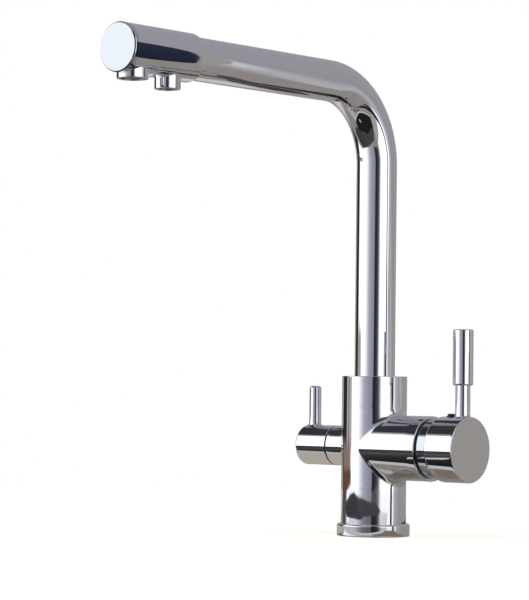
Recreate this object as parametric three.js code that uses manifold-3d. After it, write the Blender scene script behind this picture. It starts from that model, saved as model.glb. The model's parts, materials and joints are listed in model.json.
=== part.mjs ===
// Three way filtered water kitchen tap, as a tree of separate pieces.
//
// Millimetres, +Z up. The tap stands on the worktop plane z = 0, and the column's axis is the Z axis.
// The spout points to -Y (towards the user), the mixer lever sits at +X and the filter valve at -X.
//
// The most skilled part is the cast body, with its blended side housings and water passages, and the
// ceramic mixer cartridge inside it, whose lever tilts in a rotor and drags a ceramic disc.

import * as THREE from 'three';
import { mergeVertices } from 'three/addons/utils/BufferGeometryUtils.js';
import Module from 'manifold-3d';

const wasm = await Module();
wasm.setup();

// ---- Driving dimensions -------------------------------------------------------------------------

const FIT_GAP = 0.3;                // running clearance between two pieces
const EDGE_BREAK = 0.6;             // small polished rounding on outer edges

const COLUMN_RADIUS = 22.5;
const COLUMN_TOP = 110;
const BASE_RING_RADIUS = 25.25;
const BASE_RING_HEIGHT = 8.5;
const BASE_RING_FLOOR = 3;          // ledge of the base ring that the column stands on
const BASE_RING_FOOT = 1.2;         // height of the taper at its foot
const BASE_RING_TAPER = 0.3;
const BASE_RING_ROUNDING = 1.4;
const BLEND_RADIUS = 3;             // cast blend between the column and the mixer housing

const SPOUT_RADIUS = 14;
const SPOUT_WALL = 1.4;
const ARM_HEIGHT = 310;             // axis of the level arm
const BEND_RADIUS = 54;
const SPOUT_REACH = 256.5;          // column axis to the end disc
const HEAD_RADIUS = 15.75;
const HEAD_LENGTH = 73.5;           // from the end of the tube to the end disc
const HEAD_CONE_LENGTH = 8;
const HEAD_CONE_BLEND = 12;
const HEAD_BORE_RADIUS = 9.6;
const END_CAP_THICKNESS = 3.5;
const END_CAP_BEVEL = 0.8;

const AERATOR_SETBACK = 14;         // from the end disc to the axis of the mixed water outlet
const AERATOR_RADIUS = 10.3;
const AERATOR_DROP = 18.6;          // its rim lies this far below the arm's axis
const FILTER_OUTLET_SETBACK = 45.2; // from the end disc to the axis of the filtered water outlet
const FILTER_OUTLET_RADIUS = 8.5;
const FILTER_OUTLET_DROP = 22;
const OUTLET_WALL = 1.6;            // wall of both outlets at the rim
const OUTLET_MOUTH_DEPTH = 1.2;     // how far the jet and the straightener sit above the rim
const OUTLET_NECK_DEPTH = 7;        // both outlets' necks end this far below the arm's axis
const OUTLET_SEAT_SINK = 0.4;       // how far a barrel's seat is sunk into the head
const AERATOR_NECK_STEP = 2.4;      // from the barrel to its neck inside the head
const AERATOR_BORE_RADIUS = 6;
const MOUTH_ROOF = 1.4;             // metal left between the aerator's mouth and its seat
const AERATOR_WASHER_THICKNESS = 1;
const FILTER_OUTLET_SEAT_SINK = 1.3;
const FILTER_OUTLET_NECK_STEP = 2.2;
const STRAIGHTENER_HEIGHT = 3.8;
const STRAIGHTENER_FLOOR = 2;
const STRAIGHTENER_WALL = 1.4;      // from the mouth's bore to the cup's hollow
const JET_HOLE_RADIUS = 0.9;
const AERATOR_JETS = [[0, 1], [3.2, 6], [6.2, 12]];     // distance from the middle, and how many
const STRAIGHTENER_JETS = [[0, 1], [3.4, 6]];
const FILTER_TUBE_RADIUS = 3.2;
const FILTER_TUBE_WALL = 0.9;
const FILTER_TUBE_BEND = 7.3;       // tight bend down into the filtered outlet
const FILTER_TUBE_SEATING = 3;      // how far its end reaches into the outlet's neck
const FILTER_PLUG_FLOOR = 77;       // ledge in the body below the tube's lower end
const FILTER_TUBE_LIFT = 1;         // the tube's lower end stands this far above that ledge
const FILTER_TUBE_SEAL_WALL = 1.7;

const SOCKET_FLOOR = 84;            // floor of the spout socket in the column
const SPIGOT_TOP = 100;             // shoulder that the spout tube stands on
const SPIGOT_NECK = 12;             // length of the spigot's neck inside the tube
const SPIGOT_BORE_RADIUS = 9;
const O_RING_HEIGHT = 2.4;
const O_RING_DEPTH = 1.8;
const O_RING_HEIGHTS = [86, 90];    // lower faces of the two spigot O-rings
const RETAINING_GROOVE = 95;
const RETAINING_GROOVE_WIDTH = 3;
const RETAINING_GROOVE_DEPTH = 1.4;
const RETAINING_SCREW_RADIUS = 2.5;
const RETAINING_SCREW_INSET = 0.6;
const SLIDE_RING_HEIGHT = 3.4;
const SLIDE_RING_WALL = 2.4;
const SLIDE_RING_SEAT = 106;

const MIXER_AXIS_HEIGHT = 61;
const MIXER_HOUSING_RADIUS = 22.2;
const MIXER_HOUSING_END = 51;
const CARTRIDGE_RADIUS = 17.2;
const CARTRIDGE_FLOOR = 14;         // distance of the chamber floor from the column axis
const CARTRIDGE_END = 44;
const GASKET_THICKNESS = 1.5;
const GASKET_SLACK = 0.4;           // a soft plate is this much smaller than its chamber
const PORT_OFFSET = 8;              // hot and cold ports, each side of the column's middle
const PORT_DROP = 6;                // and this far below the mixer axis
const PORT_RADIUS = 3;
const DISC_PORT_RADIUS = 2.6;
const SUPPLY_PASSAGE_PLACE = 7;     // the upright hot and cold passages, from the column axis
const MIXED_PASSAGE_PLACE = 9;      // mixed water rises here, beside the filtered passage
const CARTRIDGE_BASE_END = 20;
const FIXED_DISC_END = 24;
const MOVING_DISC_END = 26.5;
const CARRIER_END = 31.5;
const ROTOR_RADIUS = 13.8;
const ROTOR_NECK_END = 45;
const ROTOR_NECK_RADIUS = 9.6;
const SHELL_WALL = 3;
const LEVER_PIVOT = 38;             // tilt axis of the lever, from the column axis
const PIVOT_PIN_RADIUS = 1.5;
const LEVER_TILT = THREE.MathUtils.degToRad(25);
const SPINDLE_SIZE = 8;
const SPINDLE_BALL_RADIUS = 2;
const SPINDLE_NECK_RADIUS = 1.3;
const SPINDLE_BEVEL = 1.5;
const SPINDLE_BALL_PLACE = 29.5;
const SPINDLE_END = 76;
const DISC_REST_OFFSET = 1.8;       // the moving disc rests this far below the axis
const MOVING_DISC_RADIUS = 11.8;
const MIXING_HOLLOW_RADIUS = 6;
const MIXING_HOLLOW_DEPTH = 1.2;
const CARRIER_POCKET_FLOOR = 0.6;   // plastic left between the spindle's ball and the disc
const NUT_RING_END = 49.5;
const NUT_RING_RADIUS = 19.9;
const NUT_SLOT_WIDTH = 4;
const NUT_SLOT_DEPTH = 2;
const GLIDE_RING_THICKNESS = 1.4;
const COLLAR_RADIUS = 20.5;
const COLLAR_DOME = 1.9;            // how far the collar reaches into the hub
const COLLAR_BORE_RADIUS = 12.5;
const COLLAR_NECK_STEP = 1.3;       // the collar's neck is this much slimmer than the nut ring
const COLLAR_ROUNDING = 1.5;

const HUB_RADIUS = 22.2;
const HUB_START = 59.6;
const HUB_END = 82.6;
const HUB_SKIRT_CLEARANCE = 0.6;    // between the skirt and the collar inside it
const HUB_SKIRT_DEPTH = 9.4;
const HUB_RELIEF = 2.4;             // how far the lower half of the skirt is cut back
const LEVER_PLACE = 75.9;
const LEVER_ROD_RADIUS = 5.1;
const ROD_ROUNDING = 0.8;           // at the top of a plain lever rod
const LEVER_GRIP_RADIUS = 7;
const LEVER_GRIP_START = 104.2;
const LEVER_GRIP_LENGTH = 37.7;
const GRIP_ROUNDING = 0.9;          // at its top
const GRIP_FOOT_ROUNDING = 1.2;
const LEVER_FLARE_RADIUS = 5.9;
const LEVER_FLARE_HEIGHT = 1.7;
const LEVER_ROD_SEATING = 7;        // the rod's foot stays this far above the spindle
const FLARE_SINK = 0.2;             // how far a flare's rim is let into its hub
const GRIP_TENON = { radius: 3.2, length: 10 };
const MIXER_GRUB_PLACE = 3.5;       // from the bottom of the skirt's bore
const INDEX_PLUG_RADIUS = 3.2;
const INDEX_PLUG_HEIGHT = 2.5;
const INDEX_PLUG_PLACE = 66.4;
const INDEX_PLUG_SINK = 0.3;
const INDEX_NECK_STEP = 1.3;
const INDEX_PLUG_ROUNDING = 1.8;

const FILTER_AXIS_HEIGHT = 61.4;
const FILTER_BOSS_RADIUS = 13.9;
const FILTER_BOSS_END = 32.4;
const FILTER_BOSS_BLEND = 1;
const FILTER_CHAMBER_FLOOR = 12;
const FILTER_VALVE_RADIUS = 9;
const FILTER_SEAL_THICKNESS = 1.5;
const FILTER_DISC_THICKNESS = 2.5;
const FILTER_DISC_RADIUS = 6.2;
const FILTER_PORT_RADIUS = 2.6;
const FILTER_PORT_STEP = 0.8;       // the ports of the plates are this much smaller than the passages
const FILTER_PORTS = [[5, -3.4], [0, 4.6]];     // inlet and outlet in the chamber floor: across, up
const FILTER_PASSAGE_PLACE = 8.5;   // the upright inlet passage, from the column axis
const FILTER_RECESS_DEPTH = 1.2;
const FILTER_FLANGE_THICKNESS = 2.5;
const FILTER_VALVE_INSET = 0.9;     // how far the headwork ends inside the boss
const FILTER_SPINDLE_RADIUS = 4;
const FILTER_GLIDE_THICKNESS = 0.8;
const FILTER_HUB_END = 60.3;
const FILTER_HUB_ROUNDING = 1.6;
const FILTER_SPINDLE_END = 48;
const FILTER_LEVER_PLACE = 53.4;
const FILTER_LEVER_RADIUS = 4.2;
const FILTER_LEVER_TOP = 102.1;
const FILTER_FLARE_RADIUS = 5;
const FILTER_FLARE_HEIGHT = 1.6;
const FILTER_ROD_SEATING = 3;       // the rod's foot lies this far above the valve's axis
const FILTER_GRUB_PLACE = 6;        // from the spindle's end
const GRUB_SCREW_RADIUS = 2;
const GRUB_SCREW_INSET = 1;         // below the surface of its hub
const SCREW_BEVEL = 0.5;
const SCREW_KEY_DEPTH = 2.5;
const SCREW_KEY_SHARE = 0.55;       // the key hole's radius as a share of its screw's

const SHANK_RADIUS = 16.2;
const SHANK_BORE_RADIUS = 12.5;
const SHANK_TOP = 26;
const SHANK_BOTTOM = -48;
const WORKTOP_THICKNESS = 30;
const WASHER_RADIUS = 27;
const RUBBER_WASHER_THICKNESS = 3;
const STEEL_WASHER_THICKNESS = 2;
const NUT_ACROSS_FLATS = 46;
const NUT_HEIGHT = 9;
const NUT_CHAMFER = 2;
const INLET_PORT_RADIUS = 3.5;
const INLET_FLOOR = 30;             // roof of the base cavity, where the supply hoses screw in
const SHANK_STOP = 2;               // step in the cavity that the shank's top screws up to
const BASE_SEAL_RADIUS = 21;        // mid radius of the sealing ring under the base ring
const BASE_SEAL_WIDTH = 3;
const BASE_SEAL_DEPTH = 1.6;

// ---- Materials ----------------------------------------------------------------------------------

const metal = (color, roughness) => new THREE.MeshStandardMaterial({ color, roughness, metalness: 1 });
const moulded = (color, roughness) => new THREE.MeshStandardMaterial({ color, roughness, metalness: 0 });

const CHROME = metal(0xd4d5d8, 0.05);
const BRASS = metal(0xc9a55c, 0.35);
const STEEL = metal(0xa9abad, 0.3);
const RUBBER = moulded(0x1b1b1c, 0.8);
const BLACK_PLASTIC = moulded(0x232325, 0.45);
const WHITE_PLASTIC = moulded(0xe6e4de, 0.4);
const GREY_PLASTIC = moulded(0x8d9092, 0.45);
const CERAMIC = moulded(0xf1ede4, 0.15);

// ---- Solids from three.js geometry --------------------------------------------------------------

const WELD = 1e-4;
const VISIBLE_SIDES = 32;           // facets round a polished outer surface
const HIDDEN_SIDES = 18;            // facets round a bore or an inner piece
const ROD_SIDES = 16;               // facets round the lever rods and other slim pieces
const HOLE_SIDES = 8;               // facets round a drilled passage
const UP = new THREE.Vector3(0, 0, 1);
const DOWN = new THREE.Vector3(0, 0, -1);
const RIGHT = new THREE.Vector3(1, 0, 0);
const LEFT = new THREE.Vector3(-1, 0, 0);
const FRONT = new THREE.Vector3(0, -1, 0);
const BACK = new THREE.Vector3(0, 1, 0);
const LATHE_AXIS = new THREE.Vector3(0, 1, 0);

/** Welds a closed geometry, drops its zero triangles, turns it face out and makes it a solid. */
function solid(geometry) {
  const bare = geometry.clone();
  bare.deleteAttribute('normal');
  bare.deleteAttribute('uv');
  const welded = mergeVertices(bare, WELD);
  const place = welded.getAttribute('position');
  const corner = (i) => new THREE.Vector3().fromBufferAttribute(place, i);
  const index = Array.from(welded.index.array);
  const triangles = [];
  let volume = 0;
  for (let i = 0; i < index.length; i += 3) {
    const [a, b, c] = index.slice(i, i + 3);
    if (a !== b && b !== c && c !== a) {
      triangles.push([a, b, c]);
      volume += corner(a).dot(corner(b).cross(corner(c)));
    }
  }
  const facing = volume < 0 ? triangles.map(([a, b, c]) => [a, c, b]) : triangles;
  return new wasm.Manifold(new wasm.Mesh({
    numProp: 3,
    vertProperties: new Float32Array(place.array),
    triVerts: new Uint32Array(facing.flat()),
  }));
}

/** The named mesh of a solid, or of a closed geometry. */
function piece(name, shape, material) {
  const mesh = shape.isBufferGeometry ? solid(shape).getMesh() : shape.getMesh();
  const geometry = new THREE.BufferGeometry();
  geometry.setAttribute('position', new THREE.BufferAttribute(new Float32Array(mesh.vertProperties), 3));
  geometry.setIndex(Array.from(mesh.triVerts));
  geometry.computeVertexNormals();
  const result = new THREE.Mesh(geometry, material);
  result.name = name;
  return result;
}

/**
 * The points of a turned outline. Each entry is [along, radius] or [along, radius, rounding], where
 * rounding is the radius of the arc that replaces that corner.
 */
function outline(entries) {
  const corners = entries.map(([along, radius]) => new THREE.Vector2(radius, along));
  const points = [];
  entries.forEach(([, , rounding = 0], i) => {
    const here = corners[i];
    if (rounding === 0) {
      points.push(here);
      return;
    }
    const before = corners[(i + corners.length - 1) % corners.length].clone().sub(here).normalize();
    const after = corners[(i + 1) % corners.length].clone().sub(here).normalize();
    const arcSteps = rounding < 1 ? 1 : 3;
    const half = Math.acos(before.dot(after)) / 2;
    const cut = rounding / Math.tan(half);
    const inward = before.clone().add(after).normalize();
    const centre = here.clone().addScaledVector(inward, rounding / Math.sin(half));
    const from = here.clone().addScaledVector(before, cut).sub(centre);
    const to = here.clone().addScaledVector(after, cut).sub(centre);
    const sweep = Math.atan2(from.cross(to), from.dot(to));
    for (let step = 0; step <= arcSteps; step += 1) {
      points.push(from.clone().rotateAround(new THREE.Vector2(), sweep * step / arcSteps).add(centre));
    }
  });
  return points;
}

/**
 * A turned piece: the outline spun about an axis that starts at `origin` and runs along `direction`.
 * An outline that neither starts nor ends on the axis closes on itself, as a ring.
 */
function turned(entries, { origin = [0, 0, 0], direction = UP, segments = HIDDEN_SIDES } = {}) {
  const points = outline(entries);
  const onAxis = points[0].x === 0 && points[points.length - 1].x === 0;
  const geometry = new THREE.LatheGeometry(onAxis ? points : [...points, points[0]], segments);
  geometry.applyQuaternion(new THREE.Quaternion().setFromUnitVectors(LATHE_AXIS, direction));
  geometry.translate(...origin);
  return solid(geometry);
}

/** A plain round bar from `from` to `to` along the axis, measured from `origin`. */
function bar(radius, from, to, options) {
  return turned([[from, 0], [from, radius], [to, radius], [to, 0]], options);
}

/** A plain ring between two radii, from `from` to `to` along the axis. */
function ring(inner, outer, from, to, options) {
  return turned([[from, inner], [from, outer], [to, outer], [to, inner]], options);
}

/** A block between two corners. */
function block(low, high) {
  const size = high.map((value, i) => value - low[i]);
  const geometry = new THREE.BoxGeometry(...size);
  geometry.translate(...low.map((value, i) => value + size[i] / 2));
  return solid(geometry);
}

/** A side view drawn in X and Z, given a thickness along Y that is centred on the XZ plane. */
function sideView(points, thickness) {
  const shape = new THREE.Shape(points.map(([x, z]) => new THREE.Vector2(x, z)));
  const geometry = new THREE.ExtrudeGeometry(shape, { depth: thickness, bevelEnabled: false });
  geometry.rotateX(Math.PI / 2);
  geometry.translate(0, thickness / 2, 0);
  return solid(geometry);
}

/** Joins solids. */
function join(first, ...others) {
  return others.reduce((whole, other) => whole.add(other), first);
}

/** Cuts solids out of the first one. */
function cut(first, ...others) {
  return others.reduce((whole, other) => whole.subtract(other), first);
}

/**
 * A route made of straight runs and bends, for a section swept along it. Every run and bend has its
 * own number of steps, so that the sections fall exactly on the tangent points.
 */
class PipeRoute extends THREE.Curve {
  constructor(start, direction) {
    super();
    this.end = new THREE.Vector3(...start);
    this.heading = direction.clone();
    this.spans = [];
  }

  get steps() {
    return this.spans.reduce((sum, span) => sum + span.steps, 0);
  }

  run(length) {
    const from = this.end.clone();
    const heading = this.heading.clone();
    const at = (part) => from.clone().addScaledVector(heading, length * part);
    this.spans.push({ steps: 1, at, along: () => heading.clone() });
    this.end = at(1);
    return this;
  }

  bend(radius, towards, steps) {
    const centre = this.end.clone().addScaledVector(towards, radius);
    const heading = this.heading.clone();
    const aim = towards.clone();
    const at = (part) => {
      const angle = part * Math.PI / 2;
      return centre.clone().addScaledVector(aim, -radius * Math.cos(angle))
        .addScaledVector(heading, radius * Math.sin(angle));
    };
    const along = (part) => {
      const angle = part * Math.PI / 2;
      return heading.clone().multiplyScalar(Math.cos(angle)).addScaledVector(aim, Math.sin(angle));
    };
    this.spans.push({ steps, at, along });
    this.end = at(1);
    this.heading = aim;
    return this;
  }

  station(t) {
    let left = t * this.steps;
    const span = this.spans.find((candidate, i) => {
      if (left <= candidate.steps || i === this.spans.length - 1) return true;
      left -= candidate.steps;
      return false;
    });
    return [span, Math.min(left / span.steps, 1)];
  }

  getPoint(t, target = new THREE.Vector3()) {
    const [span, part] = this.station(t);
    return target.copy(span.at(part));
  }

  getPointAt(u, target) {
    return this.getPoint(u, target);
  }

  getTangent(t, target = new THREE.Vector3()) {
    const [span, part] = this.station(t);
    return target.copy(span.along(part));
  }

  getTangentAt(u, target) {
    return this.getTangent(u, target);
  }
}

/** A round pipe swept along a route. */
function pipe(route, outerRadius, innerRadius, segments) {
  const circle = (radius) => Array.from({ length: segments }, (_, i) => {
    const angle = (i * 2 * Math.PI) / segments;
    return new THREE.Vector2(radius * Math.cos(angle), radius * Math.sin(angle));
  });
  const section = new THREE.Shape(circle(outerRadius));
  section.holes.push(new THREE.Path(circle(innerRadius).reverse()));
  return new THREE.ExtrudeGeometry(section, { steps: route.steps, extrudePath: route, curveSegments: 1 });
}

/**
 * The rolling-ball blend between the upright column and a level side housing. The ball's centre
 * follows the curve where both cylinders, made larger by the ball's radius, cross.
 */
function blendRing(housingRadius, axisHeight, ballRadius, side) {
  const turns = 32;
  const arcSteps = 3;
  const sink = 0.04;                                  // the arc's ends dip under both skins
  const place = (housing, column, angle) => {
    const y = housing * Math.sin(angle);
    const x = Math.sqrt(column * column - y * y);
    return new THREE.Vector3(side * x, y, axisHeight + housing * Math.cos(angle));
  };
  const sections = [];
  for (let turn = 0; turn < turns; turn += 1) {
    const angle = (turn * 2 * Math.PI) / turns;
    const centre = place(housingRadius + ballRadius, COLUMN_RADIUS + ballRadius, angle);
    const onColumn = new THREE.Vector3(centre.x, centre.y, 0);
    onColumn.setLength(COLUMN_RADIUS - sink).setZ(centre.z);
    const onHousing = new THREE.Vector3(0, centre.y, centre.z - axisHeight);
    onHousing.setLength(housingRadius - sink).add(new THREE.Vector3(centre.x, 0, axisHeight));
    const from = onColumn.clone().sub(centre);
    const to = onHousing.clone().sub(centre);
    const opening = from.angleTo(to);
    const section = [place(housingRadius - ballRadius, COLUMN_RADIUS - ballRadius, angle)];
    for (let step = 0; step <= arcSteps; step += 1) {
      const part = step / arcSteps;
      const point = from.clone().multiplyScalar(Math.sin((1 - part) * opening) / Math.sin(opening))
        .addScaledVector(to, Math.sin(part * opening) / Math.sin(opening)).add(centre);
      section.push(point);
    }
    sections.push(section);
  }
  const size = sections[0].length;
  const index = [];
  for (let turn = 0; turn < turns; turn += 1) {
    const next = (turn + 1) % turns;
    for (let i = 0; i < size; i += 1) {
      const j = (i + 1) % size;
      index.push(turn * size + i, next * size + i, next * size + j);
      index.push(turn * size + i, next * size + j, turn * size + j);
    }
  }
  const geometry = new THREE.BufferGeometry().setFromPoints(sections.flat());
  geometry.setIndex(index);
  return solid(geometry);
}

// ---- Sizes that several pieces share ------------------------------------------------------------

const mixerAxis = { origin: [0, 0, MIXER_AXIS_HEIGHT], direction: RIGHT };
const filterAxis = { origin: [0, 0, FILTER_AXIS_HEIGHT], direction: LEFT };
const chamberRadius = CARTRIDGE_RADIUS + FIT_GAP;
const nutBoreRadius = NUT_RING_RADIUS + FIT_GAP;
const socketRadius = SPOUT_RADIUS + FIT_GAP;
const tubeBoreRadius = SPOUT_RADIUS - SPOUT_WALL;
const filterTubeBore = FILTER_TUBE_RADIUS + FIT_GAP;
const filterPlugEnd = FILTER_PLUG_FLOOR + FILTER_TUBE_LIFT;
const filterSealRadius = filterTubeBore + FILTER_TUBE_SEAL_WALL;
const slideRingRadius = socketRadius + SLIDE_RING_WALL;
const shankSocketRadius = SHANK_RADIUS + FIT_GAP;
const filterSealFloor = SOCKET_FLOOR - O_RING_HEIGHT;
const collarStart = MIXER_HOUSING_END + GLIDE_RING_THICKNESS;
const collarNeckRadius = NUT_RING_RADIUS - COLLAR_NECK_STEP;
const skirtInnerRadius = COLLAR_RADIUS + HUB_SKIRT_CLEARANCE;
const movingDiscAxis = { origin: [0, 0, MIXER_AXIS_HEIGHT - DISC_REST_OFFSET], direction: RIGHT };
const cartridgePorts = [[PORT_OFFSET, -PORT_DROP], [-PORT_OFFSET, -PORT_DROP], [0, PORT_OFFSET]];
const mixerRodAxis = { origin: [LEVER_PLACE, 0, 0], direction: UP };
const leverRodFoot = MIXER_AXIS_HEIGHT + SPINDLE_SIZE / 2 + LEVER_ROD_SEATING;
const mixerFlareSeat = MIXER_AXIS_HEIGHT + Math.sqrt(HUB_RADIUS ** 2 - LEVER_FLARE_RADIUS ** 2) - FLARE_SINK;
const mixerGrubPlace = HUB_START + HUB_SKIRT_DEPTH + MIXER_GRUB_PLACE;
const mixerGrubAxis = { origin: [mixerGrubPlace, 0, MIXER_AXIS_HEIGHT], direction: DOWN };
const indexPlugAxis = { origin: [INDEX_PLUG_PLACE, 0, MIXER_AXIS_HEIGHT], direction: UP };
const indexNeckRadius = INDEX_PLUG_RADIUS - INDEX_NECK_STEP;
const indexSeat = Math.sqrt(HUB_RADIUS ** 2 - INDEX_PLUG_RADIUS ** 2) - INDEX_PLUG_SINK;
const filterRodAxis = { origin: [-FILTER_LEVER_PLACE, 0, 0], direction: UP };
const filterRodFoot = FILTER_AXIS_HEIGHT + FILTER_ROD_SEATING;
const filterFlareRise = Math.sqrt(FILTER_BOSS_RADIUS ** 2 - FILTER_FLARE_RADIUS ** 2) - FLARE_SINK;
const filterFlareSeat = FILTER_AXIS_HEIGHT + filterFlareRise;
const filterGrubPlace = FILTER_SPINDLE_END - FILTER_GRUB_PLACE;
const filterGrubAxis = { origin: [-filterGrubPlace, 0, FILTER_AXIS_HEIGHT], direction: DOWN };
const retainingGrooveRadius = SPOUT_RADIUS - RETAINING_GROOVE_DEPTH;
const headAxis = { origin: [0, 0, ARM_HEIGHT], direction: FRONT };
const headStart = SPOUT_REACH - HEAD_LENGTH;
const aeratorDistance = SPOUT_REACH - AERATOR_SETBACK;
const aeratorBottom = ARM_HEIGHT - AERATOR_DROP;
const filterOutletDistance = SPOUT_REACH - FILTER_OUTLET_SETBACK;
const filterOutletBottom = ARM_HEIGHT - FILTER_OUTLET_DROP;
const endCapStart = SPOUT_REACH - END_CAP_THICKNESS;
const outletNeckTop = ARM_HEIGHT - OUTLET_NECK_DEPTH;
const outletSeat = (radius, sink) => ARM_HEIGHT - Math.sqrt(HEAD_RADIUS ** 2 - radius ** 2) + sink;
const aeratorSeat = {
  axis: { origin: [0, -aeratorDistance, 0] },
  radius: AERATOR_RADIUS,
  seat: outletSeat(AERATOR_RADIUS, OUTLET_SEAT_SINK),
  neckRadius: AERATOR_RADIUS - AERATOR_NECK_STEP,
};
const filterSeat = {
  axis: { origin: [0, -filterOutletDistance, 0] },
  radius: FILTER_OUTLET_RADIUS,
  seat: outletSeat(FILTER_OUTLET_RADIUS, FILTER_OUTLET_SEAT_SINK),
  neckRadius: FILTER_OUTLET_RADIUS - FILTER_OUTLET_NECK_STEP,
};
const aeratorMouthRadius = AERATOR_RADIUS - OUTLET_WALL;
const aeratorMouthTop = aeratorSeat.seat - MOUTH_ROOF;
const aeratorInsertTop = aeratorMouthTop - AERATOR_WASHER_THICKNESS;
const nozzleMouthRadius = FILTER_OUTLET_RADIUS - OUTLET_WALL;
const straightenerBottom = filterOutletBottom + OUTLET_MOUTH_DEPTH;
const nozzleMouthTop = straightenerBottom + STRAIGHTENER_HEIGHT;
const filterTubeEnd = outletNeckTop - FILTER_TUBE_SEATING;
const filterValveStart = FILTER_CHAMBER_FLOOR + FILTER_SEAL_THICKNESS;
const filterMovingDiscStart = filterValveStart + FILTER_DISC_THICKNESS;
const filterSpindleStart = filterMovingDiscStart + FILTER_DISC_THICKNESS;
const filterFlangeEnd = filterSpindleStart + FILTER_FLANGE_THICKNESS;
const filterValveEnd = FILTER_BOSS_END - FILTER_VALVE_INSET;
const filterHubStart = FILTER_BOSS_END + FILTER_GLIDE_THICKNESS + FIT_GAP;

// ---- Fixed pieces: body and base ----------------------------------------------------------------

/** The outside of the cast body: column, both side housings and their blends. */
function bodyOutside() {
  const column = turned([
    [BASE_RING_FLOOR, 0], [BASE_RING_FLOOR, COLUMN_RADIUS],
    [COLUMN_TOP, COLUMN_RADIUS, EDGE_BREAK], [COLUMN_TOP, 0],
  ], { segments: VISIBLE_SIDES });
  const housing = turned([
    [0, 0], [0, MIXER_HOUSING_RADIUS],
    [MIXER_HOUSING_END, MIXER_HOUSING_RADIUS, EDGE_BREAK], [MIXER_HOUSING_END, 0],
  ], { ...mixerAxis, segments: VISIBLE_SIDES });
  const boss = turned([
    [0, 0], [0, FILTER_BOSS_RADIUS],
    [FILTER_BOSS_END, FILTER_BOSS_RADIUS, EDGE_BREAK / 2], [FILTER_BOSS_END, 0],
  ], { ...filterAxis, segments: VISIBLE_SIDES });
  const mixerBlend = blendRing(MIXER_HOUSING_RADIUS, MIXER_AXIS_HEIGHT, BLEND_RADIUS, 1);
  const filterBlend = blendRing(FILTER_BOSS_RADIUS, FILTER_AXIS_HEIGHT, FILTER_BOSS_BLEND, -1);
  return join(column, housing, boss, mixerBlend, filterBlend);
}

/** The bored spaces of the body: spout socket, cartridge and valve chambers, base cavity. */
function bodyChambers() {
  const over = 1;
  return [
    bar(socketRadius, SOCKET_FLOOR, COLUMN_TOP + over),
    bar(slideRingRadius + FIT_GAP, SLIDE_RING_SEAT, COLUMN_TOP + over),
    bar(chamberRadius, CARTRIDGE_FLOOR, CARTRIDGE_END + over, mixerAxis),
    bar(nutBoreRadius, CARTRIDGE_END, MIXER_HOUSING_END + over, mixerAxis),
    bar(FILTER_VALVE_RADIUS + FIT_GAP, FILTER_CHAMBER_FLOOR, FILTER_BOSS_END + over, filterAxis),
    bar(shankSocketRadius, BASE_RING_FLOOR - over, SHANK_TOP),
    bar(shankSocketRadius - SHANK_STOP, SHANK_TOP - over, INLET_FLOOR),
  ];
}

/** A small round passage between two heights or two distances, given by its axis point. */
function drilled(radius, origin, direction, length) {
  return bar(radius, 0, length, { origin, direction, segments: HOLE_SIDES });
}

/** Hot, cold, mixed and filtered passages, with a port for each in the floor of its chamber. */
function bodyPassages() {
  const overrun = 1;
  const corner = 2;                                   // how far a passage runs past the one it meets
  const inletHeight = MIXER_AXIS_HEIGHT - PORT_DROP;
  const supply = [PORT_OFFSET, -PORT_OFFSET].flatMap((y) => [
    drilled(INLET_PORT_RADIUS, [SUPPLY_PASSAGE_PLACE, y, INLET_FLOOR - overrun], UP,
      inletHeight - INLET_FLOOR + corner + overrun),
    drilled(INLET_PORT_RADIUS, [SUPPLY_PASSAGE_PLACE - corner, y, inletHeight], RIGHT,
      CARTRIDGE_FLOOR - SUPPLY_PASSAGE_PLACE + corner + overrun),
  ]);
  const mixedHeight = MIXER_AXIS_HEIGHT + PORT_OFFSET;
  const mixed = [
    drilled(PORT_RADIUS, [MIXED_PASSAGE_PLACE - corner, 0, mixedHeight], RIGHT,
      CARTRIDGE_FLOOR - MIXED_PASSAGE_PLACE + corner + overrun),
    drilled(PORT_RADIUS, [MIXED_PASSAGE_PLACE, 0, mixedHeight - corner], UP,
      SOCKET_FLOOR - mixedHeight + corner + overrun),
  ];
  const [[inletAcross, inletUp], [, outletUp]] = FILTER_PORTS;
  const filterInletHeight = FILTER_AXIS_HEIGHT + inletUp;
  const filterInlet = [
    drilled(FILTER_PORT_RADIUS, [-FILTER_PASSAGE_PLACE, inletAcross, INLET_FLOOR - overrun], UP,
      filterInletHeight - INLET_FLOOR + corner + overrun / 2),
    drilled(FILTER_PORT_RADIUS, [-FILTER_PASSAGE_PLACE + corner, inletAcross, filterInletHeight], LEFT,
      FILTER_CHAMBER_FLOOR - FILTER_PASSAGE_PLACE + corner + overrun),
  ];
  const outletHeight = FILTER_AXIS_HEIGHT + outletUp;
  const filterOutlet = [
    drilled(FILTER_PORT_RADIUS, [overrun, 0, outletHeight], LEFT, FILTER_CHAMBER_FLOOR + 2 * overrun),
    drilled(FILTER_PORT_RADIUS, [0, 0, outletHeight - overrun], UP,
      FILTER_PLUG_FLOOR - outletHeight + 2 * overrun),
    bar(filterTubeBore, FILTER_PLUG_FLOOR, SOCKET_FLOOR + overrun),
    bar(filterSealRadius + FIT_GAP, filterSealFloor, SOCKET_FLOOR + overrun),
  ];
  return [...supply, ...mixed, ...filterInlet, ...filterOutlet];
}

/** The chromed brass body casting. */
function tapBody() {
  const screwHeight = RETAINING_GROOVE + RETAINING_GROOVE_WIDTH / 2;
  const screwHole = drilled(RETAINING_SCREW_RADIUS + FIT_GAP, [0, socketRadius / 2, screwHeight], BACK,
    COLUMN_RADIUS);
  return cut(bodyOutside(), ...bodyChambers(), ...bodyPassages(), screwHole);
}

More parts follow.
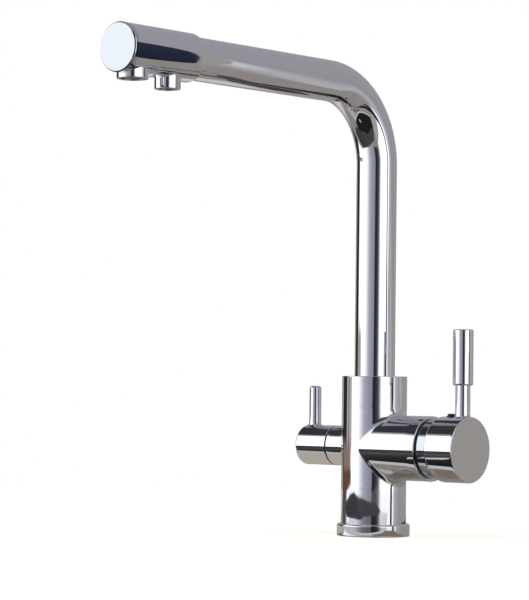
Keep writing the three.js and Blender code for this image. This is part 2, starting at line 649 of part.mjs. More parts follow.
/** The ring that the column stands on, with the groove for its seal. */
function baseRing() {
  const inner = shankSocketRadius;
  const step = COLUMN_RADIUS + FIT_GAP;
  const whole = turned([
    [0, inner], [0, BASE_RING_RADIUS - BASE_RING_TAPER], [BASE_RING_FOOT, BASE_RING_RADIUS],
    [BASE_RING_HEIGHT, BASE_RING_RADIUS, BASE_RING_ROUNDING], [BASE_RING_HEIGHT, step],
    [BASE_RING_FLOOR, step], [BASE_RING_FLOOR, inner],
  ], { segments: VISIBLE_SIDES });
  const half = BASE_SEAL_WIDTH / 2 + FIT_GAP;
  const groove = ring(BASE_SEAL_RADIUS - half, BASE_SEAL_RADIUS + half, -1, BASE_SEAL_DEPTH, {
    segments: VISIBLE_SIDES,
  });
  return cut(whole, groove);
}

/** The soft ring that seals the base ring to the worktop. */
function baseSeal() {
  const half = BASE_SEAL_WIDTH / 2;
  return ring(BASE_SEAL_RADIUS - half, BASE_SEAL_RADIUS + half, 0, BASE_SEAL_DEPTH, {
    segments: VISIBLE_SIDES,
  });
}

/** The hollow shank that the three supply hoses pass through. */
function mountingShank() {
  return turned([
    [SHANK_BOTTOM, SHANK_BORE_RADIUS], [SHANK_BOTTOM, SHANK_RADIUS, 1], [SHANK_TOP, SHANK_RADIUS],
    [SHANK_TOP, SHANK_BORE_RADIUS],
  ]);
}

/** A flat washer under the worktop, with its upper face at the given height. */
function clampWasher(top, thickness) {
  return ring(shankSocketRadius, WASHER_RADIUS, top - thickness, top);
}

/** The hexagon nut that pulls the tap down, chamfered as a turned nut is. */
function fixingNut(top) {
  const corner = NUT_ACROSS_FLATS / Math.sqrt(3);
  const bottom = top - NUT_HEIGHT;
  const hexagon = turned([[bottom, 0], [bottom, corner], [top, corner], [top, 0]], { segments: 6 });
  const chamfer = turned([
    [bottom, 0], [bottom, NUT_ACROSS_FLATS / 2], [bottom + NUT_CHAMFER, corner + 0.5],
    [top, corner + 0.5], [top, 0],
  ]);
  return cut(hexagon.intersect(chamfer), bar(shankSocketRadius, top - NUT_HEIGHT - 1, top + 1));
}

/** A headless grub screw with its hexagon key hole. */
function grubScrew(radius, from, to, options) {
  const keyDepth = Math.min(SCREW_KEY_DEPTH, (to - from) / 2);
  const shaft = turned([
    [from, 0], [from, radius - SCREW_BEVEL], [from + SCREW_BEVEL, radius], [to, radius], [to, 0],
  ], { ...options, segments: HOLE_SIDES });
  return cut(shaft, bar(radius * SCREW_KEY_SHARE, to - keyDepth, to + 1, { ...options, segments: 6 }));
}

// ---- Mixer: cartridge, collar and lever ---------------------------------------------------------

/** How far the tilted spindle's corners reach from the mixer axis, at a distance from the column. */
function spindleSweep(place) {
  const half = SPINDLE_SIZE / 2;
  const drop = (place - LEVER_PIVOT) * Math.tan(LEVER_TILT) + half / Math.cos(LEVER_TILT);
  return Math.hypot(drop, half);
}

/** Cuts the hot, cold and mixed ports through a plate of the cartridge. */
function ported(plate, radius, from, to) {
  const holes = cartridgePorts.map(([y, z]) => (
    drilled(radius, [from - 1, y, MIXER_AXIS_HEIGHT + z], RIGHT, to - from + 2)));
  return cut(plate, ...holes);
}

function cartridgeGasket() {
  const end = CARTRIDGE_FLOOR + GASKET_THICKNESS;
  const plate = bar(CARTRIDGE_RADIUS - GASKET_SLACK, CARTRIDGE_FLOOR, end, mixerAxis);
  return ported(plate, PORT_RADIUS, CARTRIDGE_FLOOR, end);
}

function cartridgeBase() {
  const start = CARTRIDGE_FLOOR + GASKET_THICKNESS;
  const plate = bar(CARTRIDGE_RADIUS, start, CARTRIDGE_BASE_END, mixerAxis);
  return ported(plate, PORT_RADIUS, start, CARTRIDGE_BASE_END);
}

function cartridgeFixedDisc() {
  const disc = bar(ROTOR_RADIUS - FIT_GAP, CARTRIDGE_BASE_END, FIXED_DISC_END, mixerAxis);
  return ported(disc, DISC_PORT_RADIUS, CARTRIDGE_BASE_END, FIXED_DISC_END);
}

/** The ceramic disc that slides over the ports, with the mixing hollow in its face. */
function cartridgeMovingDisc() {
  const hollowEnd = FIXED_DISC_END + MIXING_HOLLOW_DEPTH;
  const hollow = bar(MIXING_HOLLOW_RADIUS, FIXED_DISC_END - 1, hollowEnd, movingDiscAxis);
  return cut(bar(MOVING_DISC_RADIUS, FIXED_DISC_END, MOVING_DISC_END, movingDiscAxis), hollow);
}

/** The plastic plate that carries the moving disc, with the pocket for the spindle's ball. */
function cartridgeDiscCarrier() {
  const pocketRadius = SPINDLE_BALL_RADIUS + FIT_GAP + 0.1;
  const pocket = bar(pocketRadius, MOVING_DISC_END + CARRIER_POCKET_FLOOR, CARRIER_END + 1, {
    ...mixerAxis, segments: ROD_SIDES,
  });
  return cut(bar(MOVING_DISC_RADIUS - FIT_GAP, MOVING_DISC_END, CARRIER_END, movingDiscAxis), pocket);
}

function cartridgeShell() {
  const inner = ROTOR_RADIUS + FIT_GAP;
  return turned([
    [CARTRIDGE_BASE_END, inner], [CARTRIDGE_BASE_END, CARTRIDGE_RADIUS],
    [CARTRIDGE_END, CARTRIDGE_RADIUS], [CARTRIDGE_END, ROTOR_NECK_RADIUS + FIT_GAP],
    [CARTRIDGE_END - SHELL_WALL, ROTOR_NECK_RADIUS + FIT_GAP], [CARTRIDGE_END - SHELL_WALL, inner],
  ], mixerAxis);
}

/** The rotor that turns with the lever; its slot lets the spindle tilt and nothing more. */
function cartridgeRotor() {
  const start = CARRIER_END + FIT_GAP;
  const shoulder = CARTRIDGE_END - SHELL_WALL - FIT_GAP;
  const whole = turned([
    [start, 0], [start, ROTOR_RADIUS], [shoulder, ROTOR_RADIUS], [shoulder, ROTOR_NECK_RADIUS],
    [ROTOR_NECK_END, ROTOR_NECK_RADIUS], [ROTOR_NECK_END, 0],
  ], mixerAxis);
  const half = SPINDLE_SIZE / 2 + FIT_GAP;
  const tilted = (reach) => reach * Math.tan(LEVER_TILT) + half / Math.cos(LEVER_TILT);
  const behind = start - 1;
  const ahead = ROTOR_NECK_END + 1;
  const slot = sideView([
    [behind, -half], [LEVER_PIVOT - 2, -half], [ahead, -tilted(ahead - LEVER_PIVOT)],
    [ahead, half], [LEVER_PIVOT + 2, half], [behind, tilted(LEVER_PIVOT - behind)],
  ].map(([x, z]) => [x, z + MIXER_AXIS_HEIGHT]), 2 * half);
  const pinHole = drilled(PIVOT_PIN_RADIUS + FIT_GAP, [LEVER_PIVOT, -ROTOR_RADIUS - 1, MIXER_AXIS_HEIGHT],
    BACK, 2 * ROTOR_RADIUS + 2);
  return cut(whole, slot, pinHole);
}

function cartridgePivotPin() {
  const length = 2 * ROTOR_RADIUS - 2;
  return drilled(PIVOT_PIN_RADIUS, [LEVER_PIVOT, -length / 2, MIXER_AXIS_HEIGHT], BACK, length);
}

/** The square steel spindle: ball, pivot eye and the end that the hub fits over. */
function mixerSpindle() {
  const half = SPINDLE_SIZE / 2;
  const shoulder = LEVER_PIVOT - half - 1;
  const square = sideView([
    [shoulder, -half + SPINDLE_BEVEL], [shoulder + SPINDLE_BEVEL, -half], [SPINDLE_END, -half],
    [SPINDLE_END, half], [shoulder + SPINDLE_BEVEL, half], [shoulder, half - SPINDLE_BEVEL],
  ].map(([x, z]) => [x, z + MIXER_AXIS_HEIGHT]), SPINDLE_SIZE);
  const neck = bar(SPINDLE_NECK_RADIUS, SPINDLE_BALL_PLACE, shoulder + 1, {
    ...mixerAxis, segments: HOLE_SIDES,
  });
  const ballStart = SPINDLE_BALL_PLACE - SPINDLE_BALL_RADIUS;
  const ballEnd = SPINDLE_BALL_PLACE + SPINDLE_BALL_RADIUS;
  const ball = turned([
    [ballStart, 0], [ballStart, SPINDLE_BALL_RADIUS, SPINDLE_BALL_RADIUS],
    [ballEnd, SPINDLE_BALL_RADIUS, SPINDLE_BALL_RADIUS], [ballEnd, 0],
  ], { ...mixerAxis, segments: HOLE_SIDES });
  const eye = drilled(PIVOT_PIN_RADIUS + FIT_GAP, [LEVER_PIVOT, -half - 1, MIXER_AXIS_HEIGHT], BACK,
    SPINDLE_SIZE + 2);
  return cut(join(square, neck, ball), eye);
}

/** The threaded ring that clamps the cartridge, with four slots for its key. */
function cartridgeRetainingNut() {
  const whole = ring(COLLAR_BORE_RADIUS, NUT_RING_RADIUS, CARTRIDGE_END, NUT_RING_END, mixerAxis);
  const slots = [0, 1, 2, 3].map((quarter) => {
    const angle = (quarter * Math.PI) / 2;
    const radial = new THREE.Vector3(0, Math.sin(angle), Math.cos(angle));
    const middle = radial.clone().multiplyScalar(NUT_RING_RADIUS - 0.5);
    const reach = (axis) => NUT_SLOT_WIDTH / 2 + Math.abs(radial[axis]);
    return block(
      [NUT_RING_END - NUT_SLOT_DEPTH, middle.y - reach('y'), MIXER_AXIS_HEIGHT + middle.z - reach('z')],
      [NUT_RING_END + 1, middle.y + reach('y'), MIXER_AXIS_HEIGHT + middle.z + reach('z')],
    );
  });
  return cut(whole, ...slots);
}

/** The black ring in the groove between the housing and the collar. */
function mixerGlideRing() {
  return ring(collarNeckRadius + FIT_GAP, COLLAR_RADIUS - FIT_GAP, MIXER_HOUSING_END, collarStart, mixerAxis);
}

/** The chromed collar, domed about the lever's pivot so that the hub can tilt over it. */
function mixerCollar() {
  const lipReach = Math.hypot(HUB_START - LEVER_PIVOT, skirtInnerRadius);
  const end = HUB_START + COLLAR_DOME;
  const domeRadius = Math.sqrt((lipReach - FIT_GAP - 0.1) ** 2 - (end - LEVER_PIVOT) ** 2);
  const mouth = spindleSweep(end) + 2 * FIT_GAP;
  return turned([
    [NUT_RING_END, COLLAR_BORE_RADIUS], [NUT_RING_END, collarNeckRadius], [collarStart, collarNeckRadius],
    [collarStart, COLLAR_RADIUS, 0.4], [HUB_START, COLLAR_RADIUS, COLLAR_ROUNDING],
    [end, domeRadius], [end, mouth], [collarStart, COLLAR_BORE_RADIUS],
  ], { ...mixerAxis, segments: VISIBLE_SIDES });
}

/** The hub under the lever: a cap with a thin skirt, cut back below so that it can tilt. */
function mixerHub() {
  const whole = turned([
    [HUB_START, 0], [HUB_START, HUB_RADIUS, 0.3], [HUB_END, HUB_RADIUS, EDGE_BREAK], [HUB_END, 0],
  ], { ...mixerAxis, segments: VISIBLE_SIDES });
  const hollow = bar(skirtInnerRadius, HUB_START - 1, HUB_START + HUB_SKIRT_DEPTH, {
    ...mixerAxis, segments: VISIBLE_SIDES,
  });
  const half = SPINDLE_SIZE / 2 + FIT_GAP;
  const socket = block(
    [HUB_START, -half, MIXER_AXIS_HEIGHT - half],
    [SPINDLE_END + FIT_GAP, half, MIXER_AXIS_HEIGHT + half],
  );
  const low = MIXER_AXIS_HEIGHT - HUB_RADIUS - 1;
  const relief = sideView([
    [HUB_START - 1, MIXER_AXIS_HEIGHT], [HUB_START, MIXER_AXIS_HEIGHT], [HUB_START + HUB_RELIEF, low],
    [HUB_START - 1, low],
  ], 2 * HUB_RADIUS + 2);
  const top = MIXER_AXIS_HEIGHT + HUB_RADIUS + 1;
  const rodHole = bar(LEVER_ROD_RADIUS + FIT_GAP, leverRodFoot, top, mixerRodAxis);
  const flareSeat = bar(LEVER_FLARE_RADIUS + FIT_GAP, mixerFlareSeat, top, mixerRodAxis);
  const plugHole = bar(indexNeckRadius + FIT_GAP, 0, HUB_RADIUS + 1, indexPlugAxis);
  const plugSeat = bar(INDEX_PLUG_RADIUS + FIT_GAP, indexSeat, HUB_RADIUS + 1, indexPlugAxis);
  const screwHole = bar(GRUB_SCREW_RADIUS + FIT_GAP, 0, HUB_RADIUS + 1, mixerGrubAxis);
  return cut(whole, hollow, socket, relief, rodHole, flareSeat, plugHole, plugSeat, screwHole);
}

/** The small domed index plug that shows on top of the hub. */
function mixerIndexPlug() {
  const foot = skirtInnerRadius - 0.4;                // the neck's end, burred over inside the skirt
  const top = indexSeat + INDEX_PLUG_HEIGHT;
  return turned([
    [foot, 0], [foot, indexNeckRadius], [indexSeat, indexNeckRadius],
    [indexSeat, INDEX_PLUG_RADIUS], [top, INDEX_PLUG_RADIUS, INDEX_PLUG_ROUNDING], [top, 0],
  ], { ...indexPlugAxis, segments: ROD_SIDES });
}

/** A lever rod with the small flare at its foot and, where asked, a tenon for a grip. */
function leverRod(radius, foot, seat, flareRadius, flareHeight, end, tenon, axis) {
  const plain = [[end, radius, ROD_ROUNDING], [end, 0]];
  const stepped = ({ radius: tenonRadius, length }) => [
    [end, radius], [end, tenonRadius], [end + length, tenonRadius], [end + length, 0],
  ];
  return turned([
    [foot, 0], [foot, radius], [seat, radius], [seat, flareRadius],
    [seat + flareHeight * 0.6, flareRadius, 0.3], [seat + flareHeight, radius],
    ...(tenon ? stepped(tenon) : plain),
  ], { ...axis, segments: ROD_SIDES });
}

function mixerLeverRod() {
  return leverRod(LEVER_ROD_RADIUS, leverRodFoot, mixerFlareSeat, LEVER_FLARE_RADIUS, LEVER_FLARE_HEIGHT,
    LEVER_GRIP_START, GRIP_TENON, mixerRodAxis);
}

function mixerLeverGrip() {
  const end = LEVER_GRIP_START + LEVER_GRIP_LENGTH;
  const whole = turned([
    [LEVER_GRIP_START, 0], [LEVER_GRIP_START, LEVER_GRIP_RADIUS, GRIP_FOOT_ROUNDING],
    [end, LEVER_GRIP_RADIUS, GRIP_ROUNDING], [end, 0],
  ], { ...mixerRodAxis, segments: HIDDEN_SIDES });
  const holeEnd = LEVER_GRIP_START + GRIP_TENON.length + FIT_GAP;
  const hole = bar(GRIP_TENON.radius + FIT_GAP, LEVER_GRIP_START - 1, holeEnd, {
    ...mixerRodAxis, segments: HOLE_SIDES,
  });
  return cut(whole, hole);
}

// ---- Filtered water valve -----------------------------------------------------------------------

/** Cuts the valve's inlet and outlet ports through a plate that lies on the chamber floor. */
function filterPorted(plate, from, to) {
  const radius = FILTER_PORT_RADIUS - FILTER_PORT_STEP;
  const holes = FILTER_PORTS.map(([y, z]) => (
    drilled(radius, [-from + 1, y, FILTER_AXIS_HEIGHT + z], LEFT, to - from + 2)));
  return cut(plate, ...holes);
}

function filterValveSeal() {
  const seal = bar(FILTER_VALVE_RADIUS - GASKET_SLACK, FILTER_CHAMBER_FLOOR, filterValveStart, filterAxis);
  return filterPorted(seal, FILTER_CHAMBER_FLOOR, filterValveStart);
}

function filterFixedDisc() {
  const disc = bar(FILTER_DISC_RADIUS, filterValveStart, filterMovingDiscStart, filterAxis);
  return filterPorted(disc, filterValveStart, filterMovingDiscStart);
}

/** The turning ceramic disc: half of its face is cut away to join the two ports. */
function filterMovingDisc() {
  const disc = bar(FILTER_DISC_RADIUS, filterMovingDiscStart, filterSpindleStart, filterAxis);
  const rim = 2;                                      // ceramic left at the rim and over the middle
  const recess = block(
    [-filterMovingDiscStart - FILTER_RECESS_DEPTH, -FILTER_DISC_RADIUS + rim, FILTER_AXIS_HEIGHT + 0.8],
    [-filterMovingDiscStart + 1, FILTER_DISC_RADIUS - rim, FILTER_AXIS_HEIGHT + FILTER_DISC_RADIUS - rim],
  );
  return cut(disc, recess);
}

/** The brass headwork that holds the discs and guides the spindle. */
function filterValveBody() {
  const inner = FILTER_DISC_RADIUS + FIT_GAP;
  const guide = FILTER_SPINDLE_RADIUS + FIT_GAP;
  return turned([
    [filterValveStart, inner], [filterValveStart, FILTER_VALVE_RADIUS], [filterValveEnd, FILTER_VALVE_RADIUS],
    [filterValveEnd, guide], [filterFlangeEnd + FIT_GAP, guide], [filterFlangeEnd + FIT_GAP, inner],
  ], filterAxis);
}

function filterSpindle() {
  return turned([
    [filterSpindleStart, 0], [filterSpindleStart, FILTER_DISC_RADIUS], [filterFlangeEnd, FILTER_DISC_RADIUS],
    [filterFlangeEnd, FILTER_SPINDLE_RADIUS], [FILTER_SPINDLE_END, FILTER_SPINDLE_RADIUS, EDGE_BREAK],
    [FILTER_SPINDLE_END, 0],
  ], { ...filterAxis, segments: ROD_SIDES });
}

function filterGlideRing() {
  return ring(FILTER_VALVE_RADIUS + 1, FILTER_BOSS_RADIUS - 0.5, FILTER_BOSS_END,
    FILTER_BOSS_END + FILTER_GLIDE_THICKNESS, filterAxis);
}

/** The small hub that carries the filtered water lever. */
function filterHub() {
  const whole = turned([
    [filterHubStart, 0], [filterHubStart, FILTER_BOSS_RADIUS, 0.3],
    [FILTER_HUB_END, FILTER_BOSS_RADIUS, FILTER_HUB_ROUNDING], [FILTER_HUB_END, 0],
  ], { ...filterAxis, segments: VISIBLE_SIDES });
  const top = FILTER_AXIS_HEIGHT + FILTER_BOSS_RADIUS + 1;
  const socketEnd = FILTER_SPINDLE_END + FIT_GAP;
  const socket = bar(FILTER_SPINDLE_RADIUS + FIT_GAP, filterHubStart - 1, socketEnd, filterAxis);
  const rodHole = bar(FILTER_LEVER_RADIUS + FIT_GAP, filterRodFoot, top, filterRodAxis);
  const flareSeat = bar(FILTER_FLARE_RADIUS + FIT_GAP, filterFlareSeat, top, filterRodAxis);
  const screwHole = bar(GRUB_SCREW_RADIUS + FIT_GAP, 0, FILTER_BOSS_RADIUS + 1, filterGrubAxis);
  return cut(whole, socket, rodHole, flareSeat, screwHole);
}

function filterLever() {
  return leverRod(FILTER_LEVER_RADIUS, filterRodFoot, filterFlareSeat, FILTER_FLARE_RADIUS,
    FILTER_FLARE_HEIGHT, FILTER_LEVER_TOP, null, filterRodAxis);
}

// ---- Spout --------------------------------------------------------------------------------------

/** The bent spout tube, from the spigot's shoulder to the head. */
function spoutTube() {
  const route = new PipeRoute([0, 0, SPIGOT_TOP], UP)
    .run(ARM_HEIGHT - BEND_RADIUS - SPIGOT_TOP)
    .bend(BEND_RADIUS, FRONT, 14)
    .run(headStart - BEND_RADIUS);
  return pipe(route, SPOUT_RADIUS, tubeBoreRadius, 24);
}

/** The brass plug in the tube's foot: two O-ring grooves and the groove for the retaining screw. */
function spoutSpigot() {
  const neck = tubeBoreRadius - FIT_GAP;
  const groove = SPOUT_RADIUS - O_RING_DEPTH;
  const ringGrooves = O_RING_HEIGHTS.flatMap((height) => [
    [height, SPOUT_RADIUS], [height, groove], [height + O_RING_HEIGHT, groove],
    [height + O_RING_HEIGHT, SPOUT_RADIUS],
  ]);
  const foot = SOCKET_FLOOR + FIT_GAP;
  return turned([
    [foot, SPIGOT_BORE_RADIUS], [foot, SPOUT_RADIUS, 0.5], ...ringGrooves,
    [RETAINING_GROOVE, SPOUT_RADIUS], [RETAINING_GROOVE, retainingGrooveRadius],
    [RETAINING_GROOVE + RETAINING_GROOVE_WIDTH, retainingGrooveRadius],
    [RETAINING_GROOVE + RETAINING_GROOVE_WIDTH, SPOUT_RADIUS],
    [SPIGOT_TOP, SPOUT_RADIUS], [SPIGOT_TOP, neck], [SPIGOT_TOP + SPIGOT_NECK, neck],
    [SPIGOT_TOP + SPIGOT_NECK, SPIGOT_BORE_RADIUS],
  ]);
}

function spigotSeal(height) {
  return ring(SPOUT_RADIUS - O_RING_DEPTH + FIT_GAP, SPOUT_RADIUS, height, height + O_RING_HEIGHT);
}

function spoutSlideRing() {
  return ring(socketRadius, slideRingRadius, SLIDE_RING_SEAT, SLIDE_RING_SEAT + SLIDE_RING_HEIGHT);
}

/** The rear screw whose dog point runs in the spigot's groove and keeps the spout in. */
function spoutRetainingScrew() {
  const axis = { origin: [0, 0, RETAINING_GROOVE + RETAINING_GROOVE_WIDTH / 2], direction: BACK };
  const tip = retainingGrooveRadius + FIT_GAP;
  const shoulder = socketRadius + FIT_GAP;
  const dog = bar(RETAINING_GROOVE_WIDTH / 2 - FIT_GAP, tip, shoulder + 1, { ...axis, segments: HOLE_SIDES });
  return join(grubScrew(RETAINING_SCREW_RADIUS, shoulder, COLUMN_RADIUS - RETAINING_SCREW_INSET, axis), dog);
}

/** The thicker head that carries both outlets, bored right through for the mixed water. */
function spoutHead() {
  const neck = tubeBoreRadius - FIT_GAP;
  const whole = turned([
    [headStart - SPIGOT_NECK, HEAD_BORE_RADIUS], [headStart - SPIGOT_NECK, neck], [headStart, neck],
    [headStart, SPOUT_RADIUS], [headStart + HEAD_CONE_LENGTH, HEAD_RADIUS, HEAD_CONE_BLEND],
    [endCapStart, HEAD_RADIUS], [endCapStart, HEAD_BORE_RADIUS],
  ], { ...headAxis, segments: VISIBLE_SIDES });
  const seatOf = ({ axis, radius, seat, neckRadius }) => [
    bar(radius + FIT_GAP, ARM_HEIGHT - 2 * HEAD_RADIUS, seat, axis),
    bar(neckRadius + FIT_GAP, seat - 1, outletNeckTop + 1, axis),
  ];
  return cut(whole, ...seatOf(aeratorSeat), ...seatOf(filterSeat));
}

/** The pressed-in end disc with its bevelled rim. */
function spoutEndCap() {
  const plug = HEAD_BORE_RADIUS - FIT_GAP;
  const plugStart = aeratorDistance + aeratorSeat.neckRadius + FIT_GAP;
  return turned([
    [plugStart, 0], [plugStart, plug], [endCapStart, plug], [endCapStart, HEAD_RADIUS],
    [SPOUT_REACH - END_CAP_BEVEL, HEAD_RADIUS], [SPOUT_REACH, HEAD_RADIUS - END_CAP_BEVEL], [SPOUT_REACH, 0],
  ], { ...headAxis, segments: VISIBLE_SIDES });
}

/** A screwed-in outlet barrel: a visible sleeve below its seat and a neck inside the head. */
function outletBarrel({ axis, radius, seat, neckRadius }, bottom, mouthRadius, mouthTop, boreRadius) {
  return turned([
    [bottom, mouthRadius], [bottom, radius, 0.5], [seat, radius], [seat, neckRadius],
    [outletNeckTop, neckRadius], [outletNeckTop, boreRadius], [mouthTop, boreRadius], [mouthTop, mouthRadius],
  ], axis);
}

function aeratorHousing() {
  return outletBarrel(aeratorSeat, aeratorBottom, aeratorMouthRadius, aeratorMouthTop, AERATOR_BORE_RADIUS);
}

function aeratorWasher() {
  return ring(AERATOR_BORE_RADIUS + 0.2, aeratorMouthRadius - FIT_GAP, aeratorInsertTop, aeratorMouthTop,
    aeratorSeat.axis);
}

/** Small round holes in rings about an outlet's axis. */
function jets(pattern, { axis }, from, to) {
  const [, middle] = axis.origin;
  return pattern.flatMap(([distance, count]) => Array.from({ length: count }, (_, i) => {
    const angle = (i * 2 * Math.PI) / count;
    const origin = [distance * Math.cos(angle), middle + distance * Math.sin(angle), 0];
    return bar(JET_HOLE_RADIUS, from - 1, to + 1, { origin, segments: 6 });
  }));
}

/** The jet of the aerator: rings of small holes through a plastic plug. */
function aeratorInsert() {
  const bottom = aeratorBottom + OUTLET_MOUTH_DEPTH;
  const plug = bar(aeratorMouthRadius - FIT_GAP, bottom, aeratorInsertTop, aeratorSeat.axis);
  return cut(plug, ...jets(AERATOR_JETS, aeratorSeat, bottom, aeratorInsertTop));
}

/** The filtered outlet: its neck holds the end of the inner tube. */
function filterNozzle() {
  const barrel = outletBarrel(filterSeat, filterOutletBottom, nozzleMouthRadius, nozzleMouthTop,
    FILTER_TUBE_RADIUS - FILTER_TUBE_WALL);
  return cut(barrel, bar(filterTubeBore, filterTubeEnd, outletNeckTop + 1, filterSeat.axis));
}

/** The flow straightener in the filtered outlet: a cup with holes in its floor. */
function filterNozzleInsert() {
  const floor = straightenerBottom + STRAIGHTENER_FLOOR;
  const cup = bar(nozzleMouthRadius - FIT_GAP, straightenerBottom, nozzleMouthTop, filterSeat.axis);
  const hollow = bar(nozzleMouthRadius - STRAIGHTENER_WALL, floor, nozzleMouthTop + 1, filterSeat.axis);
  return cut(cup, hollow, ...jets(STRAIGHTENER_JETS, filterSeat, straightenerBottom, floor));
}

/** The separate inner tube that keeps filtered water apart, from the body's port to its outlet. */
function filterInnerTube() {
  const route = new PipeRoute([0, 0, filterPlugEnd], UP)
    .run(ARM_HEIGHT - BEND_RADIUS - filterPlugEnd)
    .bend(BEND_RADIUS, FRONT, 9)
    .run(filterOutletDistance - FILTER_TUBE_BEND - BEND_RADIUS)
    .bend(FILTER_TUBE_BEND, DOWN, 4)
    .run(ARM_HEIGHT - FILTER_TUBE_BEND - filterTubeEnd);
  return pipe(route, FILTER_TUBE_RADIUS, FILTER_TUBE_RADIUS - FILTER_TUBE_WALL, HOLE_SIDES);
}

function filterTubeSeal() {
  return ring(filterTubeBore, filterSealRadius, filterSealFloor, SOCKET_FLOOR);
}

// ---- The tap, body by body ----------------------------------------------------------------------

const rubberWasherTop = -WORKTOP_THICKNESS;
const steelWasherTop = rubberWasherTop - RUBBER_WASHER_THICKNESS;
const nutTop = steelWasherTop - STEEL_WASHER_THICKNESS;

const fixedBody = new THREE.Group().add(
  piece('tap_body', tapBody(), CHROME),
  piece('base_ring', baseRing(), CHROME),
  piece('base_seal', baseSeal(), RUBBER),
  piece('mounting_shank', mountingShank(), BRASS),
  piece('clamp_rubber_washer', clampWasher(rubberWasherTop, RUBBER_WASHER_THICKNESS), RUBBER),
  piece('clamp_steel_washer', clampWasher(steelWasherTop, STEEL_WASHER_THICKNESS), STEEL),
  piece('fixing_nut', fixingNut(nutTop), BRASS),
  piece('spout_slide_ring', spoutSlideRing(), BLACK_PLASTIC),
  piece('spout_retaining_screw', spoutRetainingScrew(), STEEL),
  piece('filter_tube_seal', filterTubeSeal(), RUBBER),
  piece('cartridge_gasket', cartridgeGasket(), RUBBER),
  piece('cartridge_base', cartridgeBase(), WHITE_PLASTIC),
  piece('cartridge_fixed_disc', cartridgeFixedDisc(), CERAMIC),
  piece('cartridge_shell', cartridgeShell(), GREY_PLASTIC),
  piece('cartridge_retaining_nut', cartridgeRetainingNut(), BRASS),
  piece('mixer_glide_ring', mixerGlideRing(), BLACK_PLASTIC),
  piece('mixer_collar', mixerCollar(), CHROME),
  piece('filter_valve_seal', filterValveSeal(), RUBBER),
  piece('filter_fixed_disc', filterFixedDisc(), CERAMIC),
  piece('filter_valve_body', filterValveBody(), BRASS),
  piece('filter_glide_ring', filterGlideRing(), BLACK_PLASTIC),
);

const mixerRotorBody = new THREE.Group().add(
  piece('cartridge_rotor', cartridgeRotor(), WHITE_PLASTIC),
  piece('cartridge_pivot_pin', cartridgePivotPin(), STEEL),
);

const mixerDiscBody = new THREE.Group().add(
  piece('cartridge_moving_disc', cartridgeMovingDisc(), CERAMIC),
  piece('cartridge_disc_carrier', cartridgeDiscCarrier(), GREY_PLASTIC),
);

const hubTip = SPINDLE_SIZE / 2;
const hubScrewEnd = HUB_RADIUS - GRUB_SCREW_INSET;
const mixerLeverBody = new THREE.Group().add(
  piece('mixer_spindle', mixerSpindle(), STEEL),
  piece('mixer_hub', mixerHub(), CHROME),
  piece('mixer_index_plug', mixerIndexPlug(), BLACK_PLASTIC),
  piece('mixer_grub_screw', grubScrew(GRUB_SCREW_RADIUS, hubTip, hubScrewEnd, mixerGrubAxis), STEEL),
  piece('mixer_lever_rod', mixerLeverRod(), CHROME),
  piece('mixer_lever_grip', mixerLeverGrip(), CHROME),
);

const filterTip = FILTER_SPINDLE_RADIUS + FIT_GAP;
const filterScrewEnd = FILTER_BOSS_RADIUS - GRUB_SCREW_INSET;
const filterLeverBody = new THREE.Group().add(
  piece('filter_moving_disc', filterMovingDisc(), CERAMIC),
  piece('filter_spindle', filterSpindle(), BRASS),
  piece('filter_hub', filterHub(), CHROME),
  piece('filter_grub_screw', grubScrew(GRUB_SCREW_RADIUS, filterTip, filterScrewEnd, filterGrubAxis), STEEL),
  piece('filter_lever', filterLever(), CHROME),
);

const spoutBody = new THREE.Group().add(
  piece('spout_tube', spoutTube(), CHROME),
  piece('spout_spigot', spoutSpigot(), BRASS),
  ...O_RING_HEIGHTS.map((height, i) => piece(`spigot_o_ring_${i + 1}`, spigotSeal(height), RUBBER)),
  piece('spout_head', spoutHead(), CHROME),
  piece('spout_end_cap', spoutEndCap(), CHROME),
  piece('aerator_housing', aeratorHousing(), CHROME),
  piece('aerator_washer', aeratorWasher(), RUBBER),
  piece('aerator_insert', aeratorInsert(), GREY_PLASTIC),
  piece('filter_nozzle', filterNozzle(), CHROME),
  piece('filter_nozzle_insert', filterNozzleInsert(), GREY_PLASTIC),
  piece('filter_inner_tube', filterInnerTube(), WHITE_PLASTIC),
);

const tap = new THREE.Group().add(
  fixedBody, spoutBody, mixerRotorBody, mixerDiscBody, mixerLeverBody, filterLeverBody,
);

export default tap;
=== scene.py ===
# %% [markdown]
# # A three way filtered water tap
# The tap is a chromed brass body with a bent spout tube, a mixer lever on one side and a small
# filtered water lever on the other. The finished scene shows how to model polished metal: chrome
# has no colour of its own, so nearly all of its look is the smoothness of the mesh and the studio
# that it mirrors. The main sizes are read from the frame of solids that the tap's pieces stand in.

import json
import math

import bmesh
import bpy
from mathutils import Matrix, Vector

